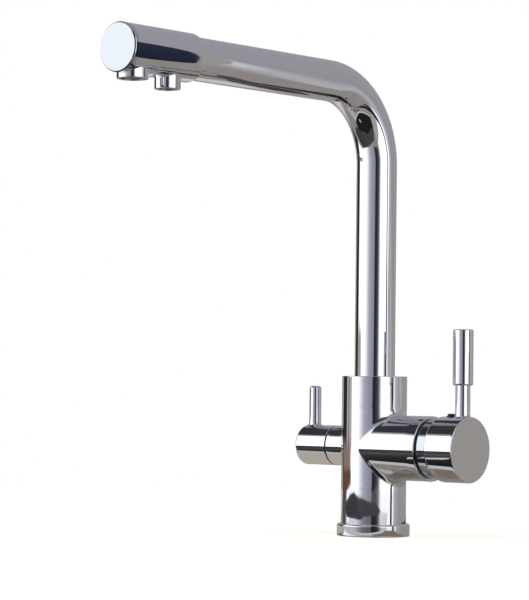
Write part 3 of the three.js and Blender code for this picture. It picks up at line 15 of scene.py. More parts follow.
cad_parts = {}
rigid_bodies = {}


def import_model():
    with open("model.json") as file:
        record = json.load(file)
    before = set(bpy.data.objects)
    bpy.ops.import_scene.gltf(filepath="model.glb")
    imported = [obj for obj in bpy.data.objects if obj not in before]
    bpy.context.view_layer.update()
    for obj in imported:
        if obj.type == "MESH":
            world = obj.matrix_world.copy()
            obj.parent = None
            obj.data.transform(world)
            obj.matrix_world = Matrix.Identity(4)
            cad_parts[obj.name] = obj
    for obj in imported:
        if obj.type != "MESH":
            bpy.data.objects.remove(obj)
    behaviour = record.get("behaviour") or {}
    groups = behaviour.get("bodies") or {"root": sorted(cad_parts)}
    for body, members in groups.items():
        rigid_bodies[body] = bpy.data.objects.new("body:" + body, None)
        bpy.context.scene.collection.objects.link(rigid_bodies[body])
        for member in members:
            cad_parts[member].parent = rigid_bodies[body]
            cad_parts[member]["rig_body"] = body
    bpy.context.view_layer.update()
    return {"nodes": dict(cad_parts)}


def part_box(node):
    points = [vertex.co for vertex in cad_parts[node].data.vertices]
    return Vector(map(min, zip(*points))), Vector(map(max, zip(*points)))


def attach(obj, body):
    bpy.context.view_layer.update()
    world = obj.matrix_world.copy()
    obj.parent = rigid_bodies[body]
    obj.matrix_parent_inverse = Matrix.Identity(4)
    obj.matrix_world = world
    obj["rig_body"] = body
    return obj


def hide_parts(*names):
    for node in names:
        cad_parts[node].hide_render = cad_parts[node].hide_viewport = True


MM = 0.001
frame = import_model()
nodes = frame["nodes"]

# %% [markdown]
# ## The camera
# The photograph was taken from the tap's front right, a little above the worktop, with a long
# lens. A camera turned about a point near the middle of the tap is easy to describe: how far
# round it stands, how far up or down it looks, and how far away it is.

# %% Place the camera
CAMERA_AZIMUTH = math.radians(41.336)
CAMERA_ELEVATION = math.radians(-2.070)
CAMERA_ROLL = math.radians(0.676)
CAMERA_DISTANCE = 1662.7 * MM
AIM_ACROSS = -76.95 * MM
AIM_HEIGHT = 161.94 * MM
IMAGE_HEIGHT = 600                  # pixels on the photograph's long side
FOCAL_PIXELS = 2397.8
SENSOR_WIDTH = 36                   # mm, for the lens alone
CLIP_START, CLIP_END = 0.05, 50


def aim_camera():
    """The camera, looking at the aim point from its distance, with its roll."""
    turn, tilt = CAMERA_AZIMUTH, CAMERA_ELEVATION
    back = Vector((math.sin(turn) * math.cos(tilt), -math.cos(turn) * math.cos(tilt), math.sin(tilt)))
    right = Vector((math.cos(turn), math.sin(turn), 0))
    up = back.cross(right)
    rolled_right = right * math.cos(CAMERA_ROLL) + up * math.sin(CAMERA_ROLL)
    rolled_up = up * math.cos(CAMERA_ROLL) - right * math.sin(CAMERA_ROLL)
    facing = Matrix((rolled_right, rolled_up, back)).transposed().to_4x4()
    place = right * AIM_ACROSS + Vector((0, 0, AIM_HEIGHT)) + back * CAMERA_DISTANCE
    data = bpy.data.cameras.new("photo_camera")
    data.sensor_width = SENSOR_WIDTH
    data.lens = FOCAL_PIXELS / IMAGE_HEIGHT * SENSOR_WIDTH
    data.clip_start, data.clip_end = CLIP_START, CLIP_END
    camera = bpy.data.objects.new("photo_camera", data)
    camera.matrix_world = Matrix.Translation(place) @ facing
    bpy.context.scene.collection.objects.link(camera)
    return camera


camera = aim_camera()
bpy.context.scene.camera = camera
bpy.context.scene.view_settings.view_transform = "Standard"
print("Camera at", [round(v / MM) for v in camera.location], "mm, lens", round(camera.data.lens, 1))

# %% [markdown]
# ## Colours and nodes
# A colour that we read off a real thing is an sRGB value, while shaders reckon in linear light.
# One function turns the one into the other. Another adds a node with its settings and its links,
# and a few short ones add the nodes that every recipe needs. From here on, every length is in
# millimetres, and becomes metres only where Blender takes it.


# %% Helpers for nodes
def linear(hex_colour, strength=1.0):
    """An sRGB colour such as #D4D5D8 as linear red, green, blue and alpha, times a strength."""
    parts = [int(hex_colour[i:i + 2], 16) / 255 for i in (1, 3, 5)]
    parts = [c / 12.92 if c <= 0.04045 else ((c + 0.055) / 1.055) ** 2.4 for c in parts]
    return [c * strength for c in parts] + [1.0]


def add(tree, kind, settings=None, **inputs):
    """A new node. Settings are its properties. An input is a value, or the node or socket that
    feeds it: a node feeds it from its first output."""
    node = tree.nodes.new(kind)
    for name, value in (settings or {}).items():
        setattr(node, name, value)
    for name, value in inputs.items():
        socket = node.inputs[int(name[1:]) if name[1:].isdigit() else name.replace("_", " ")]
        if isinstance(value, bpy.types.Node):
            value = value.outputs[0]
        if isinstance(value, bpy.types.NodeSocket):
            tree.links.new(value, socket)
        else:
            socket.default_value = value
    return node


def maths(tree, operation, *values):
    """A Math node. Its values are numbers, nodes or sockets."""
    inputs = {f"_{i}": value for i, value in enumerate(values)}
    return add(tree, "ShaderNodeMath", {"operation": operation}, **inputs)


def noise(tree, where, size, detail, roughness=0.5):
    """Noise whose blobs are about as wide as the size, in millimetres."""
    return add(tree, "ShaderNodeTexNoise", Vector=where, Scale=1 / (size * MM), Detail=detail,
               Roughness=roughness)


def ranged(tree, value, low, high, to_low=0.0, to_high=1.0, shape="LINEAR"):
    """A value stretched from one range to another."""
    return add(tree, "ShaderNodeMapRange", {"interpolation_type": shape}, Value=value, From_Min=low,
               From_Max=high, To_Min=to_low, To_Max=to_high)


def mixed(tree, factor, first, second):
    """A colour between two others, which are hex colours, linear colours or sockets."""
    first, second = (linear(c) if isinstance(c, str) else c for c in (first, second))
    return add(tree, "ShaderNodeMix", {"data_type": "RGBA"}, Factor=factor,
               _6=first, _7=second).outputs[2]


def new_material(name):
    """An empty node material, its tree and its Object coordinates."""
    material = bpy.data.materials.new(name)
    material.use_nodes = True
    material.node_tree.nodes.clear()
    tree = material.node_tree
    return material, tree, add(tree, "ShaderNodeTexCoord").outputs["Object"]


def finish_material(material, shader):
    """Links a shader to the material's output."""
    add(material.node_tree, "ShaderNodeOutputMaterial", Surface=shader)
    return material


def solid_finish(material, tone, dark, light, gloss, bumps, height, strength=1.0, metallic=0.0):
    """A tone that varies between two colours, a gloss that varies, and bumps of some height."""
    tree = material.node_tree
    bump = add(tree, "ShaderNodeBump", Height=bumps, Distance=height * MM, Strength=strength)
    return finish_material(material, add(
        tree, "ShaderNodeBsdfPrincipled", Base_Color=mixed(tree, tone, dark, light),
        Metallic=metallic, Roughness=gloss, Normal=bump))


# %% [markdown]
# ## Chrome plate
# Bright chrome over polished brass mirrors nearly everything and stays a shade cooler than
# silver. What tells it from a perfect mirror is faint: buffing leaves the surface slightly wavy
# over a centimetre or so, and a thin haze of wiping marks varies its gloss. Both are far too
# shallow for the mesh, so they are a bump and a small change of roughness.


# %% Make the chrome plate
def chrome_plate(name, wave_size, wave_height, dark="#DCDDE0", light="#E6E7EA"):
    """Polished chrome plate. The wave is the slow unevenness that buffing or drawing leaves."""
    material, tree, where = new_material(name)
    haze = noise(tree, where, 6, 4.0, roughness=0.6)
    gloss = ranged(tree, haze, 0.3, 0.75, 0.018, 0.05)
    wave = noise(tree, where, wave_size, 1.0)
    return solid_finish(material, haze, dark, light, gloss, wave, wave_height, metallic=1.0)


cast_chrome = chrome_plate("chrome_plate_on_polished_cast_brass", 14, 0.004)
tube_chrome = chrome_plate("chrome_plate_on_drawn_tube", 22, 0.006)
# A darker copy of the chrome plate for the collar and the end disc: painted shade, which keeps their
# mirror of the bright key panel below white.
dimmed_chrome = chrome_plate("chrome_plate_dimmed_as_painted_shade", 14, 0.003, "#BFC4C9", "#C6CBD0")
print("Chrome materials:", len(bpy.data.materials))

# %% [markdown]
# ## The metals and plastics inside and below
# Bare machined brass shows fine turning rings, which run round whatever axis the lathe turned
# the piece on. Stainless steel is greyer and brushed the same way. The moulded plastics and the
# rubber have a fine grain, and the ceramic discs are lapped so flat that they look wet.

# %% Make the other finishes
BRASS = "#A8843F", "#C9A55C"
STEEL = "#8E9092", "#A9ABAD"


def turned_metal(name, colours, axis, roughness):
    """Bare metal with lathe marks in rings across its axis: 0.4 mm apart, so that they show."""
    material, tree, where = new_material(name)
    along = add(tree, "ShaderNodeSeparateXYZ", Vector=where).outputs[axis]
    marks = noise(tree, add(tree, "ShaderNodeCombineXYZ", Z=along), 0.4, 3.0)
    stain = noise(tree, where, 9, 3.0)
    gloss = ranged(tree, marks, 0, 1, roughness - 0.1, roughness + 0.12)
    return solid_finish(material, stain, *colours, gloss, marks, 0.01, 0.6, metallic=1.0)


def moulded(name, shade, colour, roughness, grain, grain_height):
    """Moulded plastic, rubber or fired ceramic: a fine grain and a slight change of tone."""
    material, tree, where = new_material(name)
    fine = noise(tree, where, grain, 2.0)
    tone = noise(tree, where, 7, 3.0)
    gloss = ranged(tree, fine, 0, 1, roughness - 0.06, roughness + 0.06)
    return solid_finish(material, tone, shade, colour, gloss, fine, grain_height, 0.7)


upright_brass = turned_metal("machined_brass_turned_upright", BRASS, "Z", 0.32)
level_brass = turned_metal("machined_brass_turned_level", BRASS, "X", 0.32)
upright_steel = turned_metal("turned_stainless_steel_upright", STEEL, "Z", 0.3)
level_steel = turned_metal("turned_stainless_steel_level", STEEL, "X", 0.3)
nitrile_rubber = moulded("moulded_nitrile_rubber", "#161617", "#222223", 0.75, 0.5, 0.02)
polished_acetal = moulded("polished_black_acetal", "#1D1D20", "#2E2E31", 0.14, 0.3, 0.001)
black_acetal = moulded("moulded_black_acetal", "#1D1D20", "#29292C", 0.4, 0.3, 0.004)
white_acetal = moulded("moulded_white_acetal", "#DAD8D1", "#E9E7E1", 0.38, 0.3, 0.004)
grey_acetal = moulded("moulded_grey_acetal", "#7E8183", "#8F9294", 0.42, 0.3, 0.004)
alumina = moulded("lapped_alumina_ceramic", "#E7E2D8", "#F2EEE6", 0.14, 0.2, 0.001)
print("Materials so far:", len(bpy.data.materials))

# %% [markdown]
# ## Turned pieces
# Most of the tap comes off a lathe: a drawn outline spun about an axis. Polished metal shows
# every flaw in its shading, so the outline carries the real small roundings as arcs, each with a
# support point just before and after it. The support keeps a flat face's shading flat right up
# to its rounded edge. Real corners that have no rounding are marked sharp by their angle.

# %% Helpers for turned pieces
STEPS = 160                         # facets round a polished piece; smooth shading hides them
SMALL_STEPS = 64                    # facets round a small plastic piece
ARC_STEPS = 7                       # facets across a rounded edge
SUPPORT = 0.06                      # how close a support point stands to its arc
WELD = 0.0005 * MM                  # points nearer to each other than this are one point
TINY = 1e-4                         # far less than any real size
SHARP_ANGLE = math.radians(32)
BODY_OF = {name: node["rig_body"] for name, node in nodes.items()}


def rounded(corners, closed=False):
    """An outline of (along, radius) points. A third number is the rounding of that corner."""
    count = len(corners)
    points = []
    for i, corner in enumerate(corners):
        here = Vector(corner[:2])
        if len(corner) == 2:
            points.append(here)
            continue
        before = (Vector(corners[(i - 1) % count][:2]) - here).normalized()
        after = (Vector(corners[(i + 1) % count][:2]) - here).normalized()
        half = math.acos(max(-1, min(1, before.dot(after)))) / 2
        reach = corner[2] / math.tan(half)
        centre = here + (before + after).normalized() * corner[2] / math.sin(half)
        start, end = here + before * reach - centre, here + after * reach - centre
        sweep = start.angle_signed(end)
        points.append(here + before * (reach + SUPPORT))
        for step in range(ARC_STEPS + 1):
            turn = -sweep * step / ARC_STEPS
            c, s = math.cos(turn), math.sin(turn)
            points.append(centre + Vector((start.x * c - start.y * s, start.x * s + start.y * c)))
        points.append(here + after * (reach + SUPPORT))
    return points + points[:1] if closed else points


def ring_mesh(rings):
    """Vertices and faces that join rings of equal count. A ring of one point is a pole."""
    vertices, faces, starts = [], [], []
    for ring in rings:
        starts.append(len(vertices))
        vertices += ring
    for a in range(len(rings) - 1):
        first, second = len(rings[a]), len(rings[a + 1])
        for i in range(max(first, second)):
            j = (i + 1) % max(first, second)
            corners = [starts[a] + i % first, starts[a + 1] + i % second,
                       starts[a + 1] + j % second, starts[a] + j % first]
            face = list(dict.fromkeys(corners))
            if len(face) > 2:
                faces.append(face)
    return vertices, faces


def join(vertices, faces, more_vertices, more_faces):
    """Adds one mesh's lists to another's."""
    count = len(vertices)
    faces += [[i + count for i in face] for face in more_faces]
    vertices += more_vertices


def make_piece(name, vertices, faces, material, stands_for):
    """A closed, smooth mesh in the place of a solid of the frame. It rides where the solid rides."""
    mesh = bpy.data.meshes.new(name)
    mesh.from_pydata([tuple(Vector(v) * MM) for v in vertices], [], faces)
    shape = bmesh.new()
    shape.from_mesh(mesh)
    bmesh.ops.remove_doubles(shape, verts=shape.verts, dist=WELD)
    bmesh.ops.dissolve_degenerate(shape, edges=shape.edges, dist=WELD)
    bmesh.ops.recalc_face_normals(shape, faces=shape.faces)
    shape.to_mesh(mesh)
    open_edges = sum(not edge.is_manifold for edge in shape.edges)
    shape.free()
    mesh.shade_smooth()
    mesh.set_sharp_from_angle(angle=SHARP_ANGLE)
    mesh.materials.append(material)
    piece = bpy.data.objects.new(name, mesh)
    bpy.context.scene.collection.objects.link(piece)
    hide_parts(stands_for)
    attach(piece, BODY_OF[stands_for])
    low, high = ([round(end(v.co[i] for v in mesh.vertices) / MM, 1) for i in range(3)]
                 for end in (min, max))
    print(f"{name}: {len(mesh.polygons)} faces, {open_edges} open edges, {low} to {high} mm")


class Axis:
    """A lathe's axis: where it starts, the way it runs, and the way that angle zero points."""

    def __init__(self, origin, along, zero):
        self.origin, self.along, self.zero = Vector(origin), Vector(along), Vector(zero)
        self.side = self.along.cross(self.zero)

    def point(self, along, radius, angle):
        spoke = self.zero * math.cos(angle) + self.side * math.sin(angle)
        return self.origin + self.along * along + spoke * radius

    def ring(self, along, radius, steps):
        """Points round the axis, or the single point on it."""
        if radius < TINY:
            return [self.point(along, 0, 0)]
        return [self.point(along, radius, 2 * math.pi * i / steps) for i in range(steps)]

    def rings(self, corners, steps=STEPS, closed=False):
        """A ring for every point of an outline, with its corners rounded."""
        return [self.ring(along, radius, steps) for along, radius in rounded(corners, closed)]


def upright_at(x, y=0):
    """An upright axis, with its angle zero towards +X."""
    return Axis((x, y, 0), (0, 0, 1), (1, 0, 0))


def turned(name, finish, axis, corners, material, closed=False, steps=STEPS):
    """A turned piece. A closed outline makes a ring, an open one starts and ends on the axis."""
    make_piece(f"{name}_{finish}", *ring_mesh(axis.rings(corners, steps, closed)), material, name)


# %% [markdown]
# ## Sizes from the frame
# The solids say where everything is. The few sizes below are read from their boxes, and the
# pieces that follow are drawn from them.

# %% Read the main sizes
def box(name):
    """The low and high corners of a solid's box, in millimetres."""
    return [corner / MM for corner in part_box(name)]


def span(name, letter):
    """The middle of a solid's box along x, y or z, and half the box's size that way."""
    low, high = (corner["xyz".index(letter)] for corner in box(name))
    return (low + high) / 2, (high - low) / 2


body_low, body_high = box("tap_body")
column_radius = body_high.y
column_foot, column_top = body_low.z, body_high.z
housing_end = body_high.x           # face of the mixer housing
boss_end = -body_low.x              # face of the filter valve's boss
hub_low, hub_high = box("mixer_hub")
filter_low, filter_high = box("filter_hub")
mixer_height, hub_radius = span("mixer_hub", "z")
filter_height, boss_radius = span("filter_hub", "z")
spout_low, spout_high = box("spout_tube")
spout_radius = spout_high.x
arm_height = spout_high.z - spout_radius
head_low, head_high = box("spout_head")
head_radius = head_high.x
slide_low, slide_high = box("spout_slide_ring")
shank_low, shank_high = box("mounting_shank")

CLEARANCE = 0.3                     # between a piece and the hole or ring that it fits
upright = upright_at(0)
mixer_axis = Axis((0, 0, mixer_height), (1, 0, 0), (0, 0, 1))
filter_axis = Axis((0, 0, filter_height), (-1, 0, 0), (0, 0, 1))
arm_axis = Axis((0, 0, arm_height), (0, -1, 0), (0, 0, -1))
print(f"Column {column_radius:.2f} mm, mixer axis {mixer_height:.2f} mm, arm {arm_height:.2f} mm high")

# %% [markdown]
# ## Base ring, collar and glide rings
# The column stands in a ring that hides the edge of the tap hole. Its rim is well rounded and
# its foot is drawn in a little, which gives it the dark line along the worktop. Between the
# mixer housing and its collar lies a black plastic ring, and a thinner one at the filter valve.

# %% Make the rings
COLLAR_GAP = 1.4                    # between the mixer housing and its collar
FILTER_GAP = 0.8                    # between the filter valve's boss and its hub
GLIDE_EDGE = 0.15                   # rounding of a glide ring's rim


def base_ring():
    high = box("base_ring")[1]
    radius, height, seal_top = high.x, high.z, box("base_seal")[1].z
    bore, fit = shank_high.x + CLEARANCE, column_radius + CLEARANCE
    seal_inner, seal_outer = 19.2, 22.8
    turned("base_ring", "polished", upright, [
        (0, bore), (0, seal_inner), (seal_top, seal_inner), (seal_top, seal_outer), (0, seal_outer),
        (0, radius - 0.35, 0.1), (0.9, radius - 0.1, 0.4),
        (height, radius, 1.4), (height, fit, 0.15), (column_foot, fit), (column_foot, bore),
    ], cast_chrome, closed=True)


def mixer_collar():
    """The collar narrows under the hub's skirt, so that the hub can rock over it."""
    low, high = box("mixer_collar")
    radius, start = high.z - mixer_height, housing_end + COLLAR_GAP
    neck, bore, mouth, lip = radius - 1.9, 12.5, 17.2, 17.9
    # The collar takes the darker copy of the chrome: painted shade.
    turned("mixer_collar", "polished", mixer_axis, [
        (low.x, bore), (low.x, neck), (start, neck), (start, radius, 0.4),
        (hub_low.x, radius, 1.5), (high.x, lip), (high.x, mouth), (start, bore),
    ], dimmed_chrome, closed=True)


def glide_ring(name, axis, start, end, inner, outer):
    turned(name, "satin", axis, [
        (start, inner), (start, outer, GLIDE_EDGE), (end, outer, GLIDE_EDGE), (end, inner),
    ], black_acetal, closed=True)


def slide_ring():
    inner, outer, edge = spout_radius + CLEARANCE, slide_high.x, 0.2
    bottom, top = slide_low.z, slide_high.z
    turned("spout_slide_ring", "satin", upright, [
        (bottom, inner), (bottom, outer), (top, outer, edge), (top, inner, edge),
    ], black_acetal, closed=True)


base_ring()
mixer_collar()
glide_ring("mixer_glide_ring", mixer_axis, housing_end, housing_end + COLLAR_GAP, 18.9, 20.2)
glide_ring("filter_glide_ring", filter_axis, boss_end, boss_end + FILTER_GAP, 10, boss_radius - 0.5)
slide_ring()

# %% [markdown]
# ## Levers and grip
# Each lever is a polished rod whose cast foot swells, hollow like a trumpet's bell, where it
# leaves its round hub. The mixer's rod carries a thicker sleeve to hold, with a crisp rounded
# edge at both ends.

# %% Make the levers
LEVER_STEPS = 96                    # facets round a rod
FOOT_STEPS = 9                      # facets up the hollow of a foot
FOOT_SLENDERNESS = 1.3              # how much taller than wide the hollow is
FOOT_SINK = 0.25                    # how deep the foot's edge lies in the hub


def lever_rod(name, across, foot, hub_height, hub_curve, radius, flare, tip):
    """A rod on an upright axis at X = across, with a hollow cast foot that follows its round hub.
    The tip is the rest of the rod's outline, above its foot."""
    axis, sweep = upright_at(across), flare - radius
    rings = axis.rings([(foot, 0), (foot, radius, 0.2), (hub_height + hub_curve - 4, radius)],
                       LEVER_STEPS)
    profile = [(flare, -FOOT_SINK)]
    for step in range(FOOT_STEPS + 1):
        bend = math.pi / 2 * step / FOOT_STEPS
        rise = sweep * FOOT_SLENDERNESS * (1 - math.cos(bend))
        profile.append((flare - sweep * math.sin(bend), rise))
    for reach, rise in profile:
        ring = []
        for i in range(LEVER_STEPS):
            angle = 2 * math.pi * i / LEVER_STEPS
            skin = hub_height + math.sqrt(hub_curve ** 2 - (reach * math.sin(angle)) ** 2)
            ring.append(axis.point(skin + rise, reach, angle))
        rings.append(ring)
    make_piece(name + "_polished", *ring_mesh(rings + axis.rings(tip, LEVER_STEPS)), cast_chrome, name)


def mixer_lever():
    rod_low, rod_high = box("mixer_lever_rod")
    grip_low, grip_high = box("mixer_lever_grip")
    across, grip_radius = span("mixer_lever_grip", "x")
    radius, tenon, start = 5.1, 3.2, grip_low.z
    lever_rod("mixer_lever_rod", across, rod_low.z, mixer_height, hub_radius, radius, 6.4, [
        (start, radius), (start, tenon), (rod_high.z, tenon, 0.3), (rod_high.z, 0)])
    hole, depth = tenon + CLEARANCE, rod_high.z + CLEARANCE
    turned("mixer_lever_grip", "polished", upright_at(across), [
        (depth, 0), (depth, hole), (start, hole), (start, grip_radius, 1.2),
        (grip_high.z, grip_radius, 0.9), (grip_high.z, 0),
    ], cast_chrome, steps=128)


def filter_lever():
    low, high = box("filter_lever")
    radius, dome, edge = 4.2, high.z + 0.8, 2
    lever_rod("filter_lever", span("filter_lever", "x")[0], low.z, filter_height, boss_radius, radius,
              5.9, [(high.z - 4, radius), (dome, radius, edge), (dome, 0)])


mixer_lever()
filter_lever()

# %% [markdown]
# ## Barrels with holes
# The hubs, the spout head and the column are round barrels with holes or branches in their
# walls. Cutting them with booleans leaves slivers, which polished metal shows at once. Instead
# each barrel is a grid with rectangular windows left out. A window is filled with rings that run
# from the window's own border points to the rim of the hole, and then on into the hole.

# %% Helpers for holes and ends
COLUMNS = 180                       # grid columns round a barrel
COLUMN_WIDTH = 2 * math.pi / COLUMNS
WINDOW_LEVEL = 1.5                  # between the levels along a window's side
WINDOW_RINGS = 7                    # rings between a window's border and the hole's rim
CROWDING = 1.4                      # above 1, the rings are closer together towards the rim
STRAIGHT = 5                        # a stretch of wall that gives an end outline its direction
CLOSE = {"edge": 0.05, "margin": 0.1}       # for a hole that its rod or plug fills


def bored(mouth, *steps):
    """The outline of a stepped bore, from its mouth to the axis. A step is a radius and a floor."""
    points = []
    for radius, floor in steps:
        points += [(mouth, radius), (floor, radius)]
        mouth = floor
    return points + [(mouth, 0)]


def end_outline(corners):
    """Where a barrel's wall stops, and the outline that closes its end. The first corner lies on the
    wall, and the second is the edge, with its rounding."""
    points = rounded(corners)
    return points[2].x, points[3:]


def bored_end(end, radius, rounding, *bores, inward=-1, mouth=None):
    """An end with a rounded edge and a stepped bore, whose mouth may be rounded too."""
    closing = bored(end, *bores)
    if mouth:
        closing[0] += (mouth,)
    return end_outline([(end + inward * STRAIGHT, radius), (end, radius, rounding), *closing])


class Hole:
    """A round hole drilled square into a barrel, with (radius, height above the axis) steps."""

    def __init__(self, along, angle, *steps, edge=0.25, margin=1.2):
        self.along, self.angle, self.radius, self.edge = along, angle, steps[0][0], edge
        self.walls = bored(0, *steps)[1:]
        self.half_along = self.half_across = self.radius + edge + margin

    def rim(self, barrel, turn):
        """The rim's place on the barrel: its angle, and how far along."""
        reach = self.radius + self.edge + SUPPORT
        return (self.angle + math.asin(reach * math.cos(turn) / barrel.radius),
                self.along + reach * math.sin(turn))

    def inner_points(self, barrel, turn):
        """Points from the rim over its small rounding and down the walls of the hole."""
        spoke, side, along = barrel.directions(self.angle)
        middle = barrel.axis.origin + along * self.along

        def place(height, radius):
            radial = side * radius * math.cos(turn) + along * radius * math.sin(turn)
            return middle + radial + spoke * height

        points = []
        for step in range(ARC_STEPS + 1):
            bend = math.pi / 2 * step / ARC_STEPS
            radius = self.radius + self.edge * (1 - math.sin(bend))
            skin = math.sqrt(barrel.radius ** 2 - (radius * math.cos(turn)) ** 2)
            points.append(place(skin - self.edge * (1 - math.cos(bend)), radius))
        return points + [place(*wall) for wall in self.walls]


# %% A barrel
class Barrel:
    """A barrel's wall about an axis, with the holes and branches that leave it."""

    def __init__(self, axis, radius, levels, openings, skew):
        self.axis, self.radius, self.openings = axis, radius, openings
        self.skew = skew or (lambda along, angle: along)
        self.levels = self.with_windows(levels)

    def directions(self, angle):
        """The outward, sideways and lengthwise directions at an angle."""
        spoke = self.axis.zero * math.cos(angle) + self.axis.side * math.sin(angle)
        side = self.axis.side * math.cos(angle) - self.axis.zero * math.sin(angle)
        return spoke, side, self.axis.along

    def point(self, along, radius, angle):
        return self.axis.point(self.skew(along, angle), radius, angle)

    def ring(self, along, radius):
        """A ring of the barrel, or the single point on its axis."""
        if radius < TINY:
            return [self.axis.point(along, 0, 0)]
        return [self.point(along, radius, COLUMN_WIDTH * i) for i in range(COLUMNS)]

    def with_windows(self, levels):
        """The grid's levels, with the lower and upper border of every window among them."""
        marks = set(levels)
        for opening in self.openings:
            low, high = opening.along - opening.half_along, opening.along + opening.half_along
            count = max(4, round(2 * opening.half_along / WINDOW_LEVEL))
            marks = {m for m in marks if m < low - SUPPORT or m > high + SUPPORT}
            marks |= {low + (high - low) * i / count for i in range(count + 1)}
        return sorted(marks)

    def build(self, start_caps, end_caps):
        """The whole barrel's mesh. Caps are (along, radius) outlines that close its two ends."""
        vertices, faces, blocked = [], [], set()
        for opening in self.openings:
            half = math.ceil(opening.half_across / self.radius / COLUMN_WIDTH)
            middle = round(opening.angle / COLUMN_WIDTH)
            left, right = middle - half, middle + half
            rows = [i for i, level in enumerate(self.levels)
                    if abs(level - opening.along) < opening.half_along + TINY]
            blocked |= {(row, column % COLUMNS) for row in rows[:-1] for column in range(left, right)}
            border = [(c, rows[0]) for c in range(left, right)] + [(right, r) for r in rows[:-1]]
            border += [(c, rows[-1]) for c in range(right, left, -1)] + [(left, r) for r in rows[:0:-1]]
            join(vertices, faces, *self.window_mesh(
                opening, [(c * COLUMN_WIDTH, self.levels[r]) for c, r in border]))
        wall, wall_faces = ring_mesh([self.ring(level, self.radius) for level in self.levels])
        join(vertices, faces, wall,
             [face for i, face in enumerate(wall_faces) if divmod(i, COLUMNS) not in blocked])
        for level, caps in ((self.levels[0], start_caps), (self.levels[-1], end_caps)):
            rings = [self.ring(*cap) for cap in [(level, self.radius), *caps]]
            join(vertices, faces, *ring_mesh(rings))
        return vertices, faces

    def window_mesh(self, opening, border):
        """Rings from a window's border to the opening's rim, and on into the opening."""
        turns = [math.atan2(along - opening.along, (angle - opening.angle) * self.radius)
                 for angle, along in border]
        rims = [opening.rim(self, turn) for turn in turns]
        rings = []
        for step in range(WINDOW_RINGS + 1):
            part = 1 - (1 - step / WINDOW_RINGS) ** CROWDING
            rings.append([self.point(c + (d - c) * part, self.radius, a + (b - a) * part)
                          for (a, c), (b, d) in zip(border, rims)])
        for ring in zip(*(opening.inner_points(self, turn) for turn in turns)):
            spread = max((point - ring[0]).length for point in ring)
            rings.append(ring if spread > TINY else ring[:1])
        return ring_mesh(rings)


def barrel_piece(name, axis, radius, start, end, count, openings, material=cast_chrome, skew=None):
    """A piece that is a barrel. Start and end each say where its wall stops and what closes it."""
    levels = [start[0] + (end[0] - start[0]) * i / count for i in range(1, count)]
    levels = [start[0], start[0] + SUPPORT, *levels, end[0] - SUPPORT, end[0]]
    barrel = Barrel(axis, radius, levels, openings, skew)
    make_piece(name + "_polished", *barrel.build(start[1], end[1]), material, name)


# %% [markdown]
# ## The body
# The body is one brass casting: an upright column, a wide housing for the mixing cartridge on
# one side and a smaller boss for the filtered water valve on the other. Each meets the column
# in a fillet. The column is a barrel, and the housings are branches of it. The bored chambers
# are kept too, because the cartridge and the valve sit in them.

# %% Make the body
FILLET_STEPS = 10                   # facets across a cast fillet
HOUSING_LEVELS = 0.03, 0.25, 0.5, 0.75      # shares of the way from the fillet to the rounded edge


class Branch:
    """A round housing that leaves a barrel sideways, with a cast fillet where the two meet.

    The fillet is what a ball leaves when it rolls along the corner, touching both cylinders.
    """

    def __init__(self, along, angle, radius, fillet, end, margin=1.2):
        self.along, self.angle, self.radius, self.fillet = along, angle, radius, fillet
        self.start, self.outline = end
        self.half_along = radius + fillet + margin
        lean = math.asin((radius + fillet) / (column_radius + fillet))
        self.half_across = column_radius * lean + margin

    def ball(self, barrel, turn):
        """How far out and how far sideways the rolling ball's centre is."""
        sideways = (self.radius + self.fillet) * math.cos(turn)
        return math.sqrt((barrel.radius + self.fillet) ** 2 - sideways ** 2), sideways

    def rim(self, barrel, turn):
        out, sideways = self.ball(barrel, turn)
        return (self.angle + math.atan2(sideways, out),
                self.along + (self.radius + self.fillet) * math.sin(turn))

    def inner_points(self, barrel, turn):
        """Points from the rim over the fillet, along the housing and into its bore."""
        spoke, side, along = barrel.directions(self.angle)
        middle = barrel.axis.origin + along * self.along
        radial = side * math.cos(turn) + along * math.sin(turn)
        out, sideways = self.ball(barrel, turn)
        centre = middle + spoke * out + radial * (self.radius + self.fillet)
        on_column, on_housing = -(spoke * out + side * sideways).normalized(), -radial
        opening = on_column.angle(on_housing)
        points = []
        for step in range(1, FILLET_STEPS + 1):
            part = step / FILLET_STEPS
            mix = on_column * math.sin((1 - part) * opening) + on_housing * math.sin(part * opening)
            points.append(centre + mix.normalized() * self.fillet)
        housing = [(out + (self.start - out) * part, self.radius) for part in HOUSING_LEVELS]
        outline = [*housing, (self.start, self.radius), *self.outline]
        return points + [middle + spoke * reach + radial * radius for reach, radius in outline]


def tap_body():
    """The outlines go over the rounded ends and down the bores. A bore is a radius and a floor."""
    collar_recess, cartridge_chamber, valve_chamber = (20.2, 44), (17.5, 14), (9.3, 12)
    ring_seat, spout_socket = (slide_high.x + CLEARANCE, slide_low.z), (spout_radius + CLEARANCE, 84)
    spigot_bore, water_bore = (5.5, 81.6), (3.5, 77)
    shank_bore = shank_high.x + CLEARANCE
    screw_radius = box("spout_retaining_screw")[1].x + CLEARANCE
    screw = Hole(span("spout_retaining_screw", "z")[0], math.pi / 2, (screw_radius, 15))
    housing = Branch(mixer_height, 0, hub_radius, 5,
                     bored_end(housing_end, hub_radius, 0.6, collar_recess, cartridge_chamber))
    boss = Branch(filter_height, math.pi, boss_radius, 1,
                  bored_end(boss_end, boss_radius, 0.3, valve_chamber))
    foot = bored_end(column_foot, column_radius, 0.2, (shank_bore, shank_high.z), (shank_bore - 2, 30),
                     inward=1)
    top = bored_end(column_top, column_radius, 0.6, ring_seat, spout_socket, spigot_bore, water_bore)
    barrel_piece("tap_body", upright, column_radius, foot, top, 40, [screw, housing, boss])


tap_body()

# %% [markdown]
# ## Hubs
# Each lever stands in a hub that turns on the valve inside. The mixer's hub is a cap whose thin
# skirt reaches over the collar. Its lower edge is cut back on a slope, which leaves room for the
# hub to rock when the lever is lifted.


